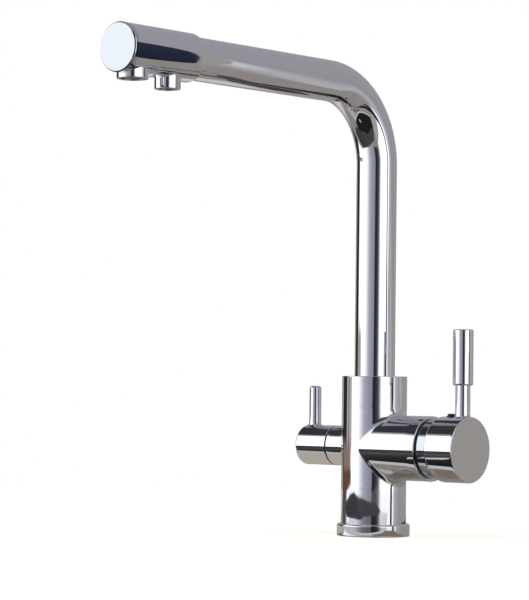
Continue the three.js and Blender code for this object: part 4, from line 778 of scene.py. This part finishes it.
# %% Make the hubs
def mixer_hub():
    start, end = hub_low.x, hub_high.x
    skirt, floor, relief, spindle_bore = 21.1, start + 9.4, 2.3, (6.3, 76.3)
    rod = Hole(span("mixer_lever_rod", "x")[0], 0, (5.95, 20.9), (5.4, 11), **CLOSE)
    plug = Hole(span("mixer_index_plug", "x")[0], 0, (3.25, 21.35), **CLOSE)
    screw = Hole(span("mixer_grub_screw", "x")[0], math.pi, (2.3, 6.5))

    def cut_back(along, angle):
        """The lower half of the skirt's edge slopes back, most at the bottom."""
        fade = max(0, min(1, (floor - along) / (floor - start)))
        return along + relief * max(0, -math.cos(angle)) * fade

    open_end = bored_end(start, hub_radius, 1.05, (skirt, floor), spindle_bore, inward=1, mouth=0.04)
    barrel_piece("mixer_hub", mixer_axis, hub_radius, open_end, bored_end(end, hub_radius, 0.6), 24,
                 [rod, plug, screw], skew=cut_back)


def filter_hub():
    start, end, spindle_bore = -filter_high.x, -filter_low.x, (4.3, 48.3)
    rod = Hole(-span("filter_lever", "x")[0], 0, (5.05, 12.4), (4.5, 3), **CLOSE)
    screw = Hole(-span("filter_grub_screw", "x")[0], math.pi, (2.3, 4.7))
    barrel_piece("filter_hub", filter_axis, boss_radius,
                 bored_end(start, boss_radius, 0.3, spindle_bore, inward=1),
                 bored_end(end, boss_radius, 1.6), 24, [rod, screw])


mixer_hub()
filter_hub()

# %% [markdown]
# ## The spout head
# The head is a thicker sleeve at the end of the arm. A short cone leads up to it from the tube,
# and two outlets are screwed in from below: the mixed water's at the front, the filtered water's
# behind it. A disc with a bevelled rim closes the end.

# %% Make the head, its end disc and the outlets' barrels
HEAD_SHOULDER = 191                 # where the head steps down to the tube
AERATOR_SEAT = 11.5                 # how far below the arm's axis the aerator's barrel meets the head
NOZZLE_SEAT = 11.96                 # and the filtered water nozzle's


def outlet_place(name):
    """How far along the arm an outlet hangs, its radius, its foot and its top."""
    low, high = box(name)
    return -(low.y + high.y) / 2, (high.x - low.x) / 2, low.z, high.z


def spout_head():
    shoulder, end, neck_start = HEAD_SHOULDER, -head_low.y, -head_high.y
    bore, neck = 9.6, spout_radius - 1.7
    aerator_along, aerator_radius, _, _ = outlet_place("aerator_housing")
    nozzle_along, nozzle_radius, _, _ = outlet_place("filter_nozzle")
    aerator = Hole(aerator_along, 0, (aerator_radius + 0.02, AERATOR_SEAT), edge=0.03, margin=0.1)
    nozzle = Hole(nozzle_along, 0, (nozzle_radius + 0.05, NOZZLE_SEAT), edge=0.08, margin=0.6)
    start = end_outline([
        (end, head_radius), (shoulder + 1.6, head_radius, 1.5), (shoulder, spout_radius + 0.1),
        (shoulder, neck), (neck_start, neck), (neck_start, bore), (end, bore),
    ])
    barrel_piece("spout_head", arm_axis, head_radius, start, (end, [(end, bore)]), 44,
                 [aerator, nozzle], tube_chrome)


def spout_end_cap():
    low, high = box("spout_end_cap")
    face, rim, plug_end = -low.y, -head_low.y, -high.y
    plug, bevel = 9.3, 0.8
    # The end disc takes the darker copy of the chrome: painted shade.
    turned("spout_end_cap", "polished", arm_axis, [
        (plug_end, 0), (plug_end, plug, 0.3), (rim, plug), (rim, head_radius, 0.06),
        (face - bevel, head_radius, bevel), (face, head_radius - bevel, 0.12), (face, 0),
    ], dimmed_chrome)


def outlet_barrel(name, seat_depth, neck, bore, mouth_depth):
    """A barrel that hangs from the head: a thin rim, an open mouth and a neck up inside the head."""
    along, radius, bottom, top = outlet_place(name)
    seat, mouth, mouth_top = arm_height - seat_depth, radius - 1.6, bottom + mouth_depth
    turned(name, "polished", upright_at(0, -along), [
        (bottom, mouth, 0.4), (bottom, radius, 0.5), (seat, radius), (seat, neck), (top, neck),
        (top, bore), (mouth_top, bore), (mouth_top, mouth),
    ], tube_chrome, closed=True)


spout_head()
spout_end_cap()
outlet_barrel("aerator_housing", AERATOR_SEAT + 0.01, 7.9, 6, 5.3)
outlet_barrel("filter_nozzle", NOZZLE_SEAT, 6.3, 2.3, 5)

# %% [markdown]
# ## Geometry Nodes for what follows a path
# The spout is a straight tube that was bent once. That is a rule more than a shape, so Geometry
# Nodes draw it: a line with one corner, a fillet at the corner, and a circle swept along it. The
# sizes are named inputs. The result is turned into a plain mesh, because an export drops
# anything that is still an instance.


# %% Helpers for Geometry Nodes
def new_geometry(name, **sizes):
    """A Geometry Nodes tree with named number inputs. A whole number makes a whole number input."""
    tree = bpy.data.node_groups.new(name, "GeometryNodeTree")
    for way in ("INPUT", "OUTPUT"):
        tree.interface.new_socket("Geometry", in_out=way, socket_type="NodeSocketGeometry")
    for label, value in sizes.items():
        kind = "NodeSocketInt" if isinstance(value, int) else "NodeSocketFloat"
        socket = tree.interface.new_socket(label.replace("_", " "), in_out="INPUT", socket_type=kind)
        socket.default_value = value
    return tree, add(tree, "NodeGroupInput").outputs


def finish_geometry(tree, geometry, material):
    """Every tree ends in real faces with a material."""
    real = add(tree, "GeometryNodeRealizeInstances", Geometry=geometry)
    painted = add(tree, "GeometryNodeSetMaterial", Geometry=real, Material=material)
    add(tree, "NodeGroupOutput", Geometry=painted)
    return tree


def grow(name, tree, vertices, edges, **sizes):
    """Runs a tree on a few points and edges and returns the vertices and faces that it makes."""
    seed_mesh = bpy.data.meshes.new(name + "_seed")
    seed_mesh.from_pydata(vertices, edges, [])
    seed = bpy.data.objects.new(name + "_seed", seed_mesh)
    bpy.context.scene.collection.objects.link(seed)
    modifier = seed.modifiers.new(name, "NODES")
    modifier.node_group = tree
    sockets = {item.name: item.identifier for item in tree.interface.items_tree
               if item.in_out == "INPUT"}
    for label, value in sizes.items():
        modifier[sockets[label.replace("_", " ")]] = value
    bpy.context.view_layer.update()
    evaluated = seed.evaluated_get(bpy.context.evaluated_depsgraph_get())
    result = bpy.data.meshes.new_from_object(evaluated)
    made = [tuple(v.co) for v in result.vertices], [list(p.vertices) for p in result.polygons]
    bpy.data.objects.remove(seed)
    bpy.data.meshes.remove(result)
    return made


# %% Make the bent tube
TUBE_SIDES = 128
TUBE_WALL = 1.4
BEND_RADIUS = 54.0


def bent_tube_tree():
    tree, sizes = new_geometry("bent_tube", Radius=spout_radius, Bend_radius=BEND_RADIUS,
                               Sides=TUBE_SIDES, Bend_steps=72)
    line = add(tree, "GeometryNodeMeshToCurve", Mesh=sizes["Geometry"])
    bent = add(tree, "GeometryNodeFilletCurve", {"mode": "POLY"}, Curve=line,
               Count=sizes["Bend steps"], Radius=sizes["Bend radius"])
    circle = add(tree, "GeometryNodeCurvePrimitiveCircle", Resolution=sizes["Sides"],
                 Radius=sizes["Radius"])
    swept = add(tree, "GeometryNodeCurveToMesh", _0=bent, _1=circle)
    return finish_geometry(tree, swept, tube_chrome)


def spout_tube():
    """An outer and an inner skin along one route, joined by rings at both ends."""
    tree, end = bent_tube_tree(), -HEAD_SHOULDER - 0.5
    route, edges = [(0, 0, spout_low.z), (0, 0, arm_height), (0, end, arm_height)], [(0, 1), (1, 2)]
    outer, outer_faces = grow("tube", tree, route, edges, Radius=spout_radius, Bend_radius=BEND_RADIUS)
    inner, inner_faces = grow("tube", tree, route, edges, Radius=spout_radius - TUBE_WALL,
                              Bend_radius=BEND_RADIUS)
    count, ends = len(outer), []
    for first in (0, count - TUBE_SIDES):
        pairs = [(first + i, first + (i + 1) % TUBE_SIDES) for i in range(TUBE_SIDES)]
        ends += [[a, b, count + b, count + a] for a, b in pairs]
    vertices, faces = list(outer), list(outer_faces)
    join(vertices, faces, inner, inner_faces)
    make_piece("spout_tube_polished", vertices, faces + ends, tube_chrome, "spout_tube")


spout_tube()

# %% [markdown]
# ## Thread on the shank
# The threaded shank is what holds the tap down from below. Its thread is a spiral with a pitch of
# 2 mm, so a tree sweeps a small triangle along a spiral curve. The triangle's base is sunk into
# the core, and its crest stands as far out as the solid does.

# %% Make the threaded shank
THREAD_PITCH = 2.0
THREAD_TOP = -1                     # where the thread ends, below the worktop's surface
THREAD_END = 1.5                    # plain core left at either end of the thread


def thread_tree():
    tree, sizes = new_geometry("thread", Turns=30.0, Steps=40, Root=15.0, Crest=16.0,
                               Pitch=THREAD_PITCH)
    spiral = add(tree, "GeometryNodeCurveSpiral", Resolution=sizes["Steps"], Rotations=sizes["Turns"],
                 Start_Radius=sizes["Root"], End_Radius=sizes["Root"],
                 Height=maths(tree, "MULTIPLY", sizes["Turns"], sizes["Pitch"]))
    profile = add(tree, "GeometryNodeCurvePrimitiveCircle", Resolution=3,
                  Radius=maths(tree, "SUBTRACT", sizes["Crest"], sizes["Root"]))
    swept = add(tree, "GeometryNodeCurveToMesh", _0=spiral, _1=profile, Fill_Caps=True)
    return finish_geometry(tree, swept, upright_brass)


def threaded_shank():
    low, high, crest = shank_low.z, shank_high.z, shank_high.y
    core, bore = crest - 0.9, 12.5
    vertices, faces = ring_mesh(upright.rings([
        (low, bore, 0.3), (low, core, 0.8), (THREAD_TOP, core), (THREAD_TOP, crest, 0.3),
        (high, crest, 0.5), (high, bore)], 96, closed=True))
    turns = round((THREAD_TOP - low - 2 * THREAD_END) / THREAD_PITCH, 3)
    thread, thread_faces = grow("thread", thread_tree(), [(0, 0, 0)], [], Turns=turns,
                                Root=core, Crest=crest, Pitch=THREAD_PITCH)
    join(vertices, faces, [(x, y, z + low + THREAD_END) for x, y, z in thread], thread_faces)
    make_piece("mounting_shank_threaded", vertices, faces, upright_brass, "mounting_shank")
    print("Thread:", turns, "turns")


threaded_shank()

# %% [markdown]
# ## Jets in the outlets
# Inside each outlet sits a moulded grid of six-sided cells that calms the water. One tree makes
# both: a grid of points, every second row moved by half a cell, the points outside the rim taken
# away, and one open cell placed on each point that is left.


# %% Make the two grids
def cell_grid_tree():
    tree, sizes = new_geometry("cell_grid", Rows=15, Pitch=1.9, Rim=7.0, Depth=2.0, Wall=0.3)
    rows, pitch = sizes["Rows"], sizes["Pitch"]

    def reckon(operation, *values):
        return maths(tree, operation, *values)

    row_gap = reckon("MULTIPLY", pitch, math.sqrt(3) / 2)
    gaps = reckon("SUBTRACT", rows, 1.0)
    grid = add(tree, "GeometryNodeMeshGrid", Size_X=reckon("MULTIPLY", gaps, pitch),
               Size_Y=reckon("MULTIPLY", gaps, row_gap), Vertices_X=rows, Vertices_Y=rows)
    place = add(tree, "GeometryNodeInputPosition")
    height = add(tree, "ShaderNodeSeparateXYZ", Vector=place).outputs["Y"]
    odd = reckon("MODULO", reckon("ABSOLUTE", reckon("ROUND", reckon("DIVIDE", height, row_gap))), 2.0)
    shift = add(tree, "ShaderNodeCombineXYZ", X=reckon("MULTIPLY", reckon("MULTIPLY", odd, 0.5), pitch))
    moved = add(tree, "GeometryNodeSetPosition", Geometry=grid, Offset=shift)
    reach = add(tree, "ShaderNodeVectorMath", {"operation": "LENGTH"}, _0=place).outputs["Value"]
    limit = reckon("SUBTRACT", sizes["Rim"], reckon("MULTIPLY", pitch, 0.6))
    inside = add(tree, "GeometryNodeDeleteGeometry", {"domain": "POINT"}, Geometry=moved,
                 Selection=reckon("GREATER_THAN", reach, limit))
    corner = reckon("SUBTRACT", reckon("DIVIDE", pitch, math.sqrt(3)), sizes["Wall"])
    outline = add(tree, "GeometryNodeCurvePrimitiveCircle", Resolution=6, Radius=corner)
    wall = add(tree, "GeometryNodeCurvePrimitiveQuadrilateral", Width=sizes["Wall"],
               Height=sizes["Depth"])
    cell = add(tree, "GeometryNodeCurveToMesh", _0=outline, _1=wall)
    turn = add(tree, "FunctionNodeAxisAngleToRotation", Axis=(0, 0, 1), Angle=math.pi / 6)
    placed = add(tree, "GeometryNodeInstanceOnPoints", Points=inside, Instance=cell, Rotation=turn)
    return finish_geometry(tree, placed, grey_acetal)


def outlet_insert(name, tree, rows, pitch, rim, depth):
    """A cup whose open side looks down, with the grid of cells in it, flush with its rim."""
    low, high = box(name)
    centre, radius = span(name, "y")
    vertices, faces = ring_mesh(upright_at(0, centre).rings([
        (low.z + depth, 0), (low.z + depth, rim), (low.z, rim, 0.15), (low.z, radius, 0.2),
        (high.z, radius), (high.z, 0)], SMALL_STEPS))
    cells, cell_faces = grow(name, tree, [(0, 0, 0)], [], Rows=rows, Pitch=pitch, Rim=rim,
                             Depth=depth, Wall=0.3)
    lift = low.z + depth / 2 + 0.1              # the cells reach a little into the cup's floor
    join(vertices, faces, [(x, y + centre, z + lift) for x, y, z in cells], cell_faces)
    make_piece(name + "_celled", vertices, faces, grey_acetal, name)


grid_tree = cell_grid_tree()
outlet_insert("aerator_insert", grid_tree, 11, 1.9, 7.4, 2.2)
outlet_insert("filter_nozzle_insert", grid_tree, 7, 2.2, 5.6, 2.4)

# %% [markdown]
# ## The index plug
# Beside the mixer's lever sits a small black plug, which closes the hole of the screw that once
# held a coloured dot. It is a low dome with a groove round its foot.


# %% Make the plug
def index_plug():
    low, high = box("mixer_index_plug")
    across, radius = span("mixer_index_plug", "x")
    seat = mixer_height + math.sqrt(hub_radius ** 2 - radius ** 2)
    turned("mixer_index_plug", "moulded", upright_at(across), [
        (low.z, 0), (low.z, radius, 0.15), (seat + 0.5, radius, 0.3),
        (seat + 0.9, radius - 0.5, 0.2), (high.z, radius - 1.1, 0.9), (high.z, 0),
    ], polished_acetal, steps=SMALL_STEPS)


index_plug()

# %% [markdown]
# ## The parts inside and below
# The cartridges, seals, spindles, screws, washers and the nut keep the solids of the frame, whose
# shapes are already right. Each only gets the finish of what it is made of. The material goes on
# the object's own slot, so that the frame's mesh is left as it was.

# %% Finish the remaining solids
FINISHES = {
    nitrile_rubber: "base_seal clamp_rubber_washer filter_tube_seal cartridge_gasket filter_valve_seal "
                    "spigot_o_ring_1 spigot_o_ring_2 aerator_washer",
    upright_steel: "clamp_steel_washer spout_retaining_screw mixer_grub_screw filter_grub_screw",
    level_steel: "cartridge_pivot_pin mixer_spindle",
    upright_brass: "fixing_nut spout_spigot",
    level_brass: "cartridge_retaining_nut filter_valve_body filter_spindle",
    white_acetal: "cartridge_base cartridge_rotor filter_inner_tube",
    grey_acetal: "cartridge_shell cartridge_disc_carrier",
    alumina: "cartridge_fixed_disc cartridge_moving_disc filter_fixed_disc filter_moving_disc",
}
finished = set()
for material, names in FINISHES.items():
    for name in names.split():
        finished.add(name)
        for slot in nodes[name].material_slots:
            slot.link = "OBJECT"
            slot.material = material
unfinished = [name for name in nodes if not nodes[name].hide_render and name not in finished]
print("Solids still without a finish:", unfinished)

# %% [markdown]
# ## The studio
# Chrome shows the room it stands in, so its look is made here and not in its material. The
# camera sees a white backdrop, while the metal mirrors a studio: large soft panels with dark
# gaps between them. Each panel is a patch of the sky in the world's nodes. It has a span of
# compass direction, measured from the camera's side and positive to the camera's right, a span
# of height above the horizon, and soft edges. A later panel lies over the ones before it.

# %% Light the world
PANELS = [
    # name, from, to, edges' softness, lowest, highest, softness, colour, strength
    ("left_fade", -85, -10, 6, 2, -40, 70, 6, "#B0B1C0", 1.0),
    ("left_fade_inner", -27, -10, 9, 2, -40, 60, 8, "#9A9CAC", 1.0),
    ("left_dark_strip", -144, -116, 3, 2, -90, 34, 6, "#2A2A2E", 1.0),
    ("key_panel", -113, -53, 5, 19, -40, 37, 2, "#FBFCFF", 1.6),
    ("left_grey_door", -116, -90, 2, 3, -1.5, 1.3, 0.2, "#C2BDBB", 1.0),
    ("left_thin_line", -108, -103, 1.5, 1.5, -1.9, 1.5, 0.5, "#6A6A70", 1.0),
    ("left_wooden_door", -137, -94, 3, 4, -3.2, -1.3, 0.2, "#957F77", 1.0),
    ("left_wooden_door_foot", -137, -91, 2, 3, -3.2, -1.95, 0.1, "#6E4C3A", 1.0),
    ("camera_gap_right", 0, 12, 3, 4, -40, 60, 8, "#4A4C58", 1.0),
    ("camera_gap", -10.5, 4, 3, 5, -40, 60, 8, "#2C2E37", 1.0),
    ("right_fade", 50, 86, 5, 14, -40, 20, 8, "#C6C4C9", 1.0),
    ("right_panel", 19, 72, 5, 4, -60, 37, 3, "#FBFCFF", 1.6),
    ("dark_above_key", -190, -58, 2, 6, 41, 63, 1.3, "#3A3940", 1.0),
]


def soft_span(tree, angle, start, end, start_soft, end_soft):
    """One inside the span and nought outside it, with a smooth edge at either end."""
    rise = ranged(tree, angle, start - start_soft, start + start_soft, shape="SMOOTHSTEP")
    fall = ranged(tree, angle, end - end_soft, end + end_soft, 1.0, 0.0, shape="SMOOTHSTEP")
    return maths(tree, "MULTIPLY", rise, fall)


def seen_and_mirrored(tree, seen, mirrored):
    """One shader for what the camera sees, and another for what the metal mirrors."""
    direct = add(tree, "ShaderNodeLightPath").outputs["Is Camera Ray"]
    return add(tree, "ShaderNodeMixShader", Fac=direct, _1=mirrored, _2=seen)


def light_world():
    world = bpy.data.worlds.new("studio")
    world.use_nodes = True
    tree = world.node_tree
    tree.nodes.clear()
    sky = add(tree, "ShaderNodeTexCoord").outputs["Generated"]
    right = (math.cos(CAMERA_AZIMUTH), math.sin(CAMERA_AZIMUTH), 0)
    toward = (math.sin(CAMERA_AZIMUTH), -math.cos(CAMERA_AZIMUTH), 0)
    across, near, up = (
        add(tree, "ShaderNodeVectorMath", {"operation": "DOT_PRODUCT"}, _0=sky, _1=way).outputs["Value"]
        for way in (right, toward, (0, 0, 1)))
    compass = maths(tree, "DEGREES", maths(tree, "ARCTAN2", across, near))
    height = maths(tree, "DEGREES", maths(tree, "ARCSINE", up))
    colour = mixed(tree, ranged(tree, height, -2.0, 20.0), "#A5A19C", "#A6A3AA")
    for name, start, end, soft_1, soft_2, low, high, soft_3, hex_colour, strength in PANELS:
        mask = maths(tree, "MULTIPLY", soft_span(tree, compass, start, end, soft_1, soft_2),
                     soft_span(tree, height, low, high, soft_3, soft_3))
        colour = mixed(tree, mask, colour, linear(hex_colour, strength))
        colour.node.label = name
    studio = add(tree, "ShaderNodeBackground", Color=colour, Strength=1.0)
    backdrop = add(tree, "ShaderNodeBackground", Color=linear("#FFFFFF"), Strength=1.0)
    add(tree, "ShaderNodeOutputWorld", Surface=seen_and_mirrored(tree, backdrop, studio))
    bpy.context.scene.world = world
    print("Studio panels:", ", ".join(panel[0] for panel in PANELS))


light_world()

# %% [markdown]
# ## The floor and the cards
# The tap stands on a pale worktop. To the camera the worktop is lifted to the backdrop's white,
# and it still darkens where the tap keeps light from it. The metal mirrors it as the warm,
# glossy board that it is. A few glowing cards stand round the tap, as a photographer puts cards:
# seen by nothing but the polished metal, each draws one of its bands or highlights. They are
# painted reflections: the pale card by the arm is a painted highlight, the brown card under the
# housing is painted shade, and the dark card on the worktop is partly painted shade.


# %% Materials of the floor and the cards
def worktop_material():
    material, tree, where = new_material("pale_laminate_worktop")
    tint = mixed(tree, noise(tree, where, 40, 3.0), "#DDD3C4", "#E6DDD0")
    matt = add(tree, "ShaderNodeBsdfDiffuse", Color=tint)
    board = add(tree, "ShaderNodeBsdfPrincipled", Base_Color=tint, Roughness=0.06)
    lift = add(tree, "ShaderNodeEmission", Color=linear("#FFFFFF"), Strength=0.72)
    lifted = add(tree, "ShaderNodeAddShader", _0=matt, _1=lift)
    return finish_material(material, seen_and_mirrored(tree, lifted, board))


def gloss_mat():
    """Black glass: dark from above, and a mirror where it is seen along its surface."""
    material, tree, where = new_material("black_glass_mat")
    tint = mixed(tree, noise(tree, where, 60, 4.0, roughness=0.7), "#292A26", "#403F3A")
    return finish_material(material, add(tree, "ShaderNodeBsdfPrincipled", Base_Color=tint,
                                         Roughness=0.03, IOR=1.06))


FRONT = (0, -200, 0), (-300, -200, 0)        # a line along the worktop's front


def card_material(name, near, far, start=FRONT[0], end=FRONT[1], edge=None, low=0, high=0, drop=0):
    """A glowing card that fades from one colour to another between two points. With an edge
    colour, it also fades to that above and below the middle of its height, and the middle drops
    by that much from start to end."""
    material, tree, where = new_material(name)
    start, end = Vector(start) * MM, Vector(end) * MM
    way = (end - start) / (end - start).length_squared
    measured = add(tree, "ShaderNodeVectorMath", {"operation": "SUBTRACT"}, _0=where, _1=start[:])
    place = add(tree, "ShaderNodeVectorMath", {"operation": "DOT_PRODUCT"}, _0=measured,
                _1=way[:]).outputs["Value"]
    colour = mixed(tree, ranged(tree, place, 0.0, 1.0), near, far)
    if edge:
        level = add(tree, "ShaderNodeSeparateXYZ", Vector=where).outputs["Z"]
        height, middle = maths(tree, "MULTIPLY_ADD", place, drop * MM, level), (low + high) / 2
        rise = ranged(tree, height, low * MM, middle * MM, shape="SMOOTHSTEP")
        fall = ranged(tree, height, middle * MM, high * MM, 1.0, 0.0, shape="SMOOTHSTEP")
        colour = mixed(tree, maths(tree, "MINIMUM", rise, fall), edge, colour)
    return finish_material(material, add(tree, "ShaderNodeEmission", Color=colour, Strength=1.0))


# %% Place the floor and the cards
def stage_card(name, corners, material, seen=False):
    """A flat piece of the studio, not of the tap. Unseen, it is there for mirrors alone."""
    mesh = bpy.data.meshes.new(name)
    mesh.from_pydata([tuple(Vector(c) * MM) for c in corners], [], [list(range(len(corners)))])
    mesh.materials.append(material)
    card = bpy.data.objects.new(name, mesh)
    bpy.context.scene.collection.objects.link(card)
    if not seen:
        card.visible_camera = card.visible_diffuse = card.visible_shadow = False


def level_card(name, height, outline, material, seen=False):
    """A card that lies at one height. Its outline runs x, y, x, y."""
    stage_card(name, [(x, y, height) for x, y in zip(outline[::2], outline[1::2])], material, seen)


def upright_card(name, start, end, outline, material):
    """An upright card over a line on the worktop. Each point of its outline is a share of the way
    from start to end, and a height."""
    start, end = Vector((*start, 0)), Vector((*end, 0))
    corners = [start.lerp(end, share) + Vector((0, 0, height)) for share, height in outline]
    stage_card(name, corners, material)


def place_cards():
    """Positions are millimetres from the column, read back from where each band lies in the metal."""
    level_card("studio_worktop", 0, [-700, -620, 700, -620, 700, 420, -700, 420],
               worktop_material(), seen=True)
    # Dark glow for cards that only the metal mirrors. On the worktop it is partly painted shade.
    dark_glow = card_material("dark_glow_card", "#4A484C", "#423F45")
    rim = card_material("brushed_rim_card", "#CFCDD0", "#B9B6B8")
    pale_paper = card_material("pale_paper_card", "#D2CFCF", "#D6D4D4")
    # Brown glow for the painted shade of the worktop under the housing.
    painted_floor_shade = card_material("painted_floor_shade_card", "#857868", "#8A7D68")
    sand = card_material("sand_paper_card", "#BDB5A8", "#C4BCB0")
    navy_felt = card_material("navy_felt_card", "#232838", "#2E3448", (0, 0, 120), (0, 0, 460))
    # Pale glow for the painted highlight along the spout's arm.
    arm_highlight_glow = card_material("pale_arm_highlight_glow_card", "#DEDCE2", "#BFBDC2", (278, 120, 0),
                         (259, 158, 0), "#A4A1A6", 190, 410, 54)
    level_card("black_mat_on_the_worktop", 0.3, [
        -150, -95, -404, -376, 326, -376, 345, -228, 330, -34, 60, -40, 0, -57], gloss_mat())
    level_card("mat_rim", 0.5, [
        -150, -95, 0, -57, 60, -40, 330, -34, 330, -20, 60, -26, 0, -43, -150, -78], rim)
    # A dark glowing card on the worktop: partly the dark sink bowl and partly painted shade, the bowl's
    # far wall in shadow, as the metal mirrors them.
    level_card("dark_card_on_the_worktop", 0.5, [
        -258, -106, -372, -110, -489, -158, -521, -410, -400, -600, -218, -600, -16, -600, 123, -533,
        238, -468, 351, -362, 352, -252, 341, -173, 254, -181, 152, -253, 35, -283, -6, -240,
        -125, -213, -229, -138], dark_glow)
    upright_card("navy_card", (322, 62), (259, 68.6), [
        (-0.4, 540), (-0.4, 140), (0.6, 110), (0.9, 97), (1.1, 80), (1.28, 74), (1.36, 84), (1.37, 105),
        (1.37, 146), (1.34, 168), (1.22, 190), (1.1, 207), (0.95, 245), (0.86, 285), (0.84, 345),
        (0.9, 380), (0.88, 403), (0.79, 422), (0.6, 437), (0.32, 448)], navy_felt)
    upright_card("navy_strip", (476, 72), (459, 129), [(0, 0), (1, 0), (1, 132), (0, 132)], navy_felt)
    # A pale glowing card that only the metal sees: a painted highlight along the arm, fading to grey
    # above and below.
    upright_card("pale_side_card", (278, 120), (240, 196), [
        (0, 170), (2.6, 40), (2.6, 310), (0, 430)], arm_highlight_glow)
    level_card("navy_line_on_the_worktop", 0.5, [96, 7, 94, 16, 456, 128, 473, 72], navy_felt)
    level_card("rim_stripe_on_the_mat", 0.5, [-19, -95, -29, -119, -4, -134, 3, -134, 3, -101], rim)
    # A brown glowing card under the housing: painted shade, the worktop in the tap's shadow as the
    # undersides of the housing and hub mirror it.
    level_card("painted_floor_shade_card_under_the_housing", 0.2, [27, -50, 76, -44, 80, 12, 36, 14, 31, -12], painted_floor_shade)
    level_card("dark_strip_behind", 0.4, [
        80, 150, 80, 172, 20, 184, -85, 264, -200, 334, -238, 312, -115, 200, -85, 174,
        0, 142], dark_glow)
    level_card("pale_card_behind", 0.3, [
        -128, 186, -250, 300, -340, 415, -690, 415, -690, 150, -300, 120], pale_paper)
    level_card("sand_card_on_the_worktop", 0.4, [
        -142, -84, -60, -52, -40, -36, -40, 45, -150, 70], sand)


place_cards()
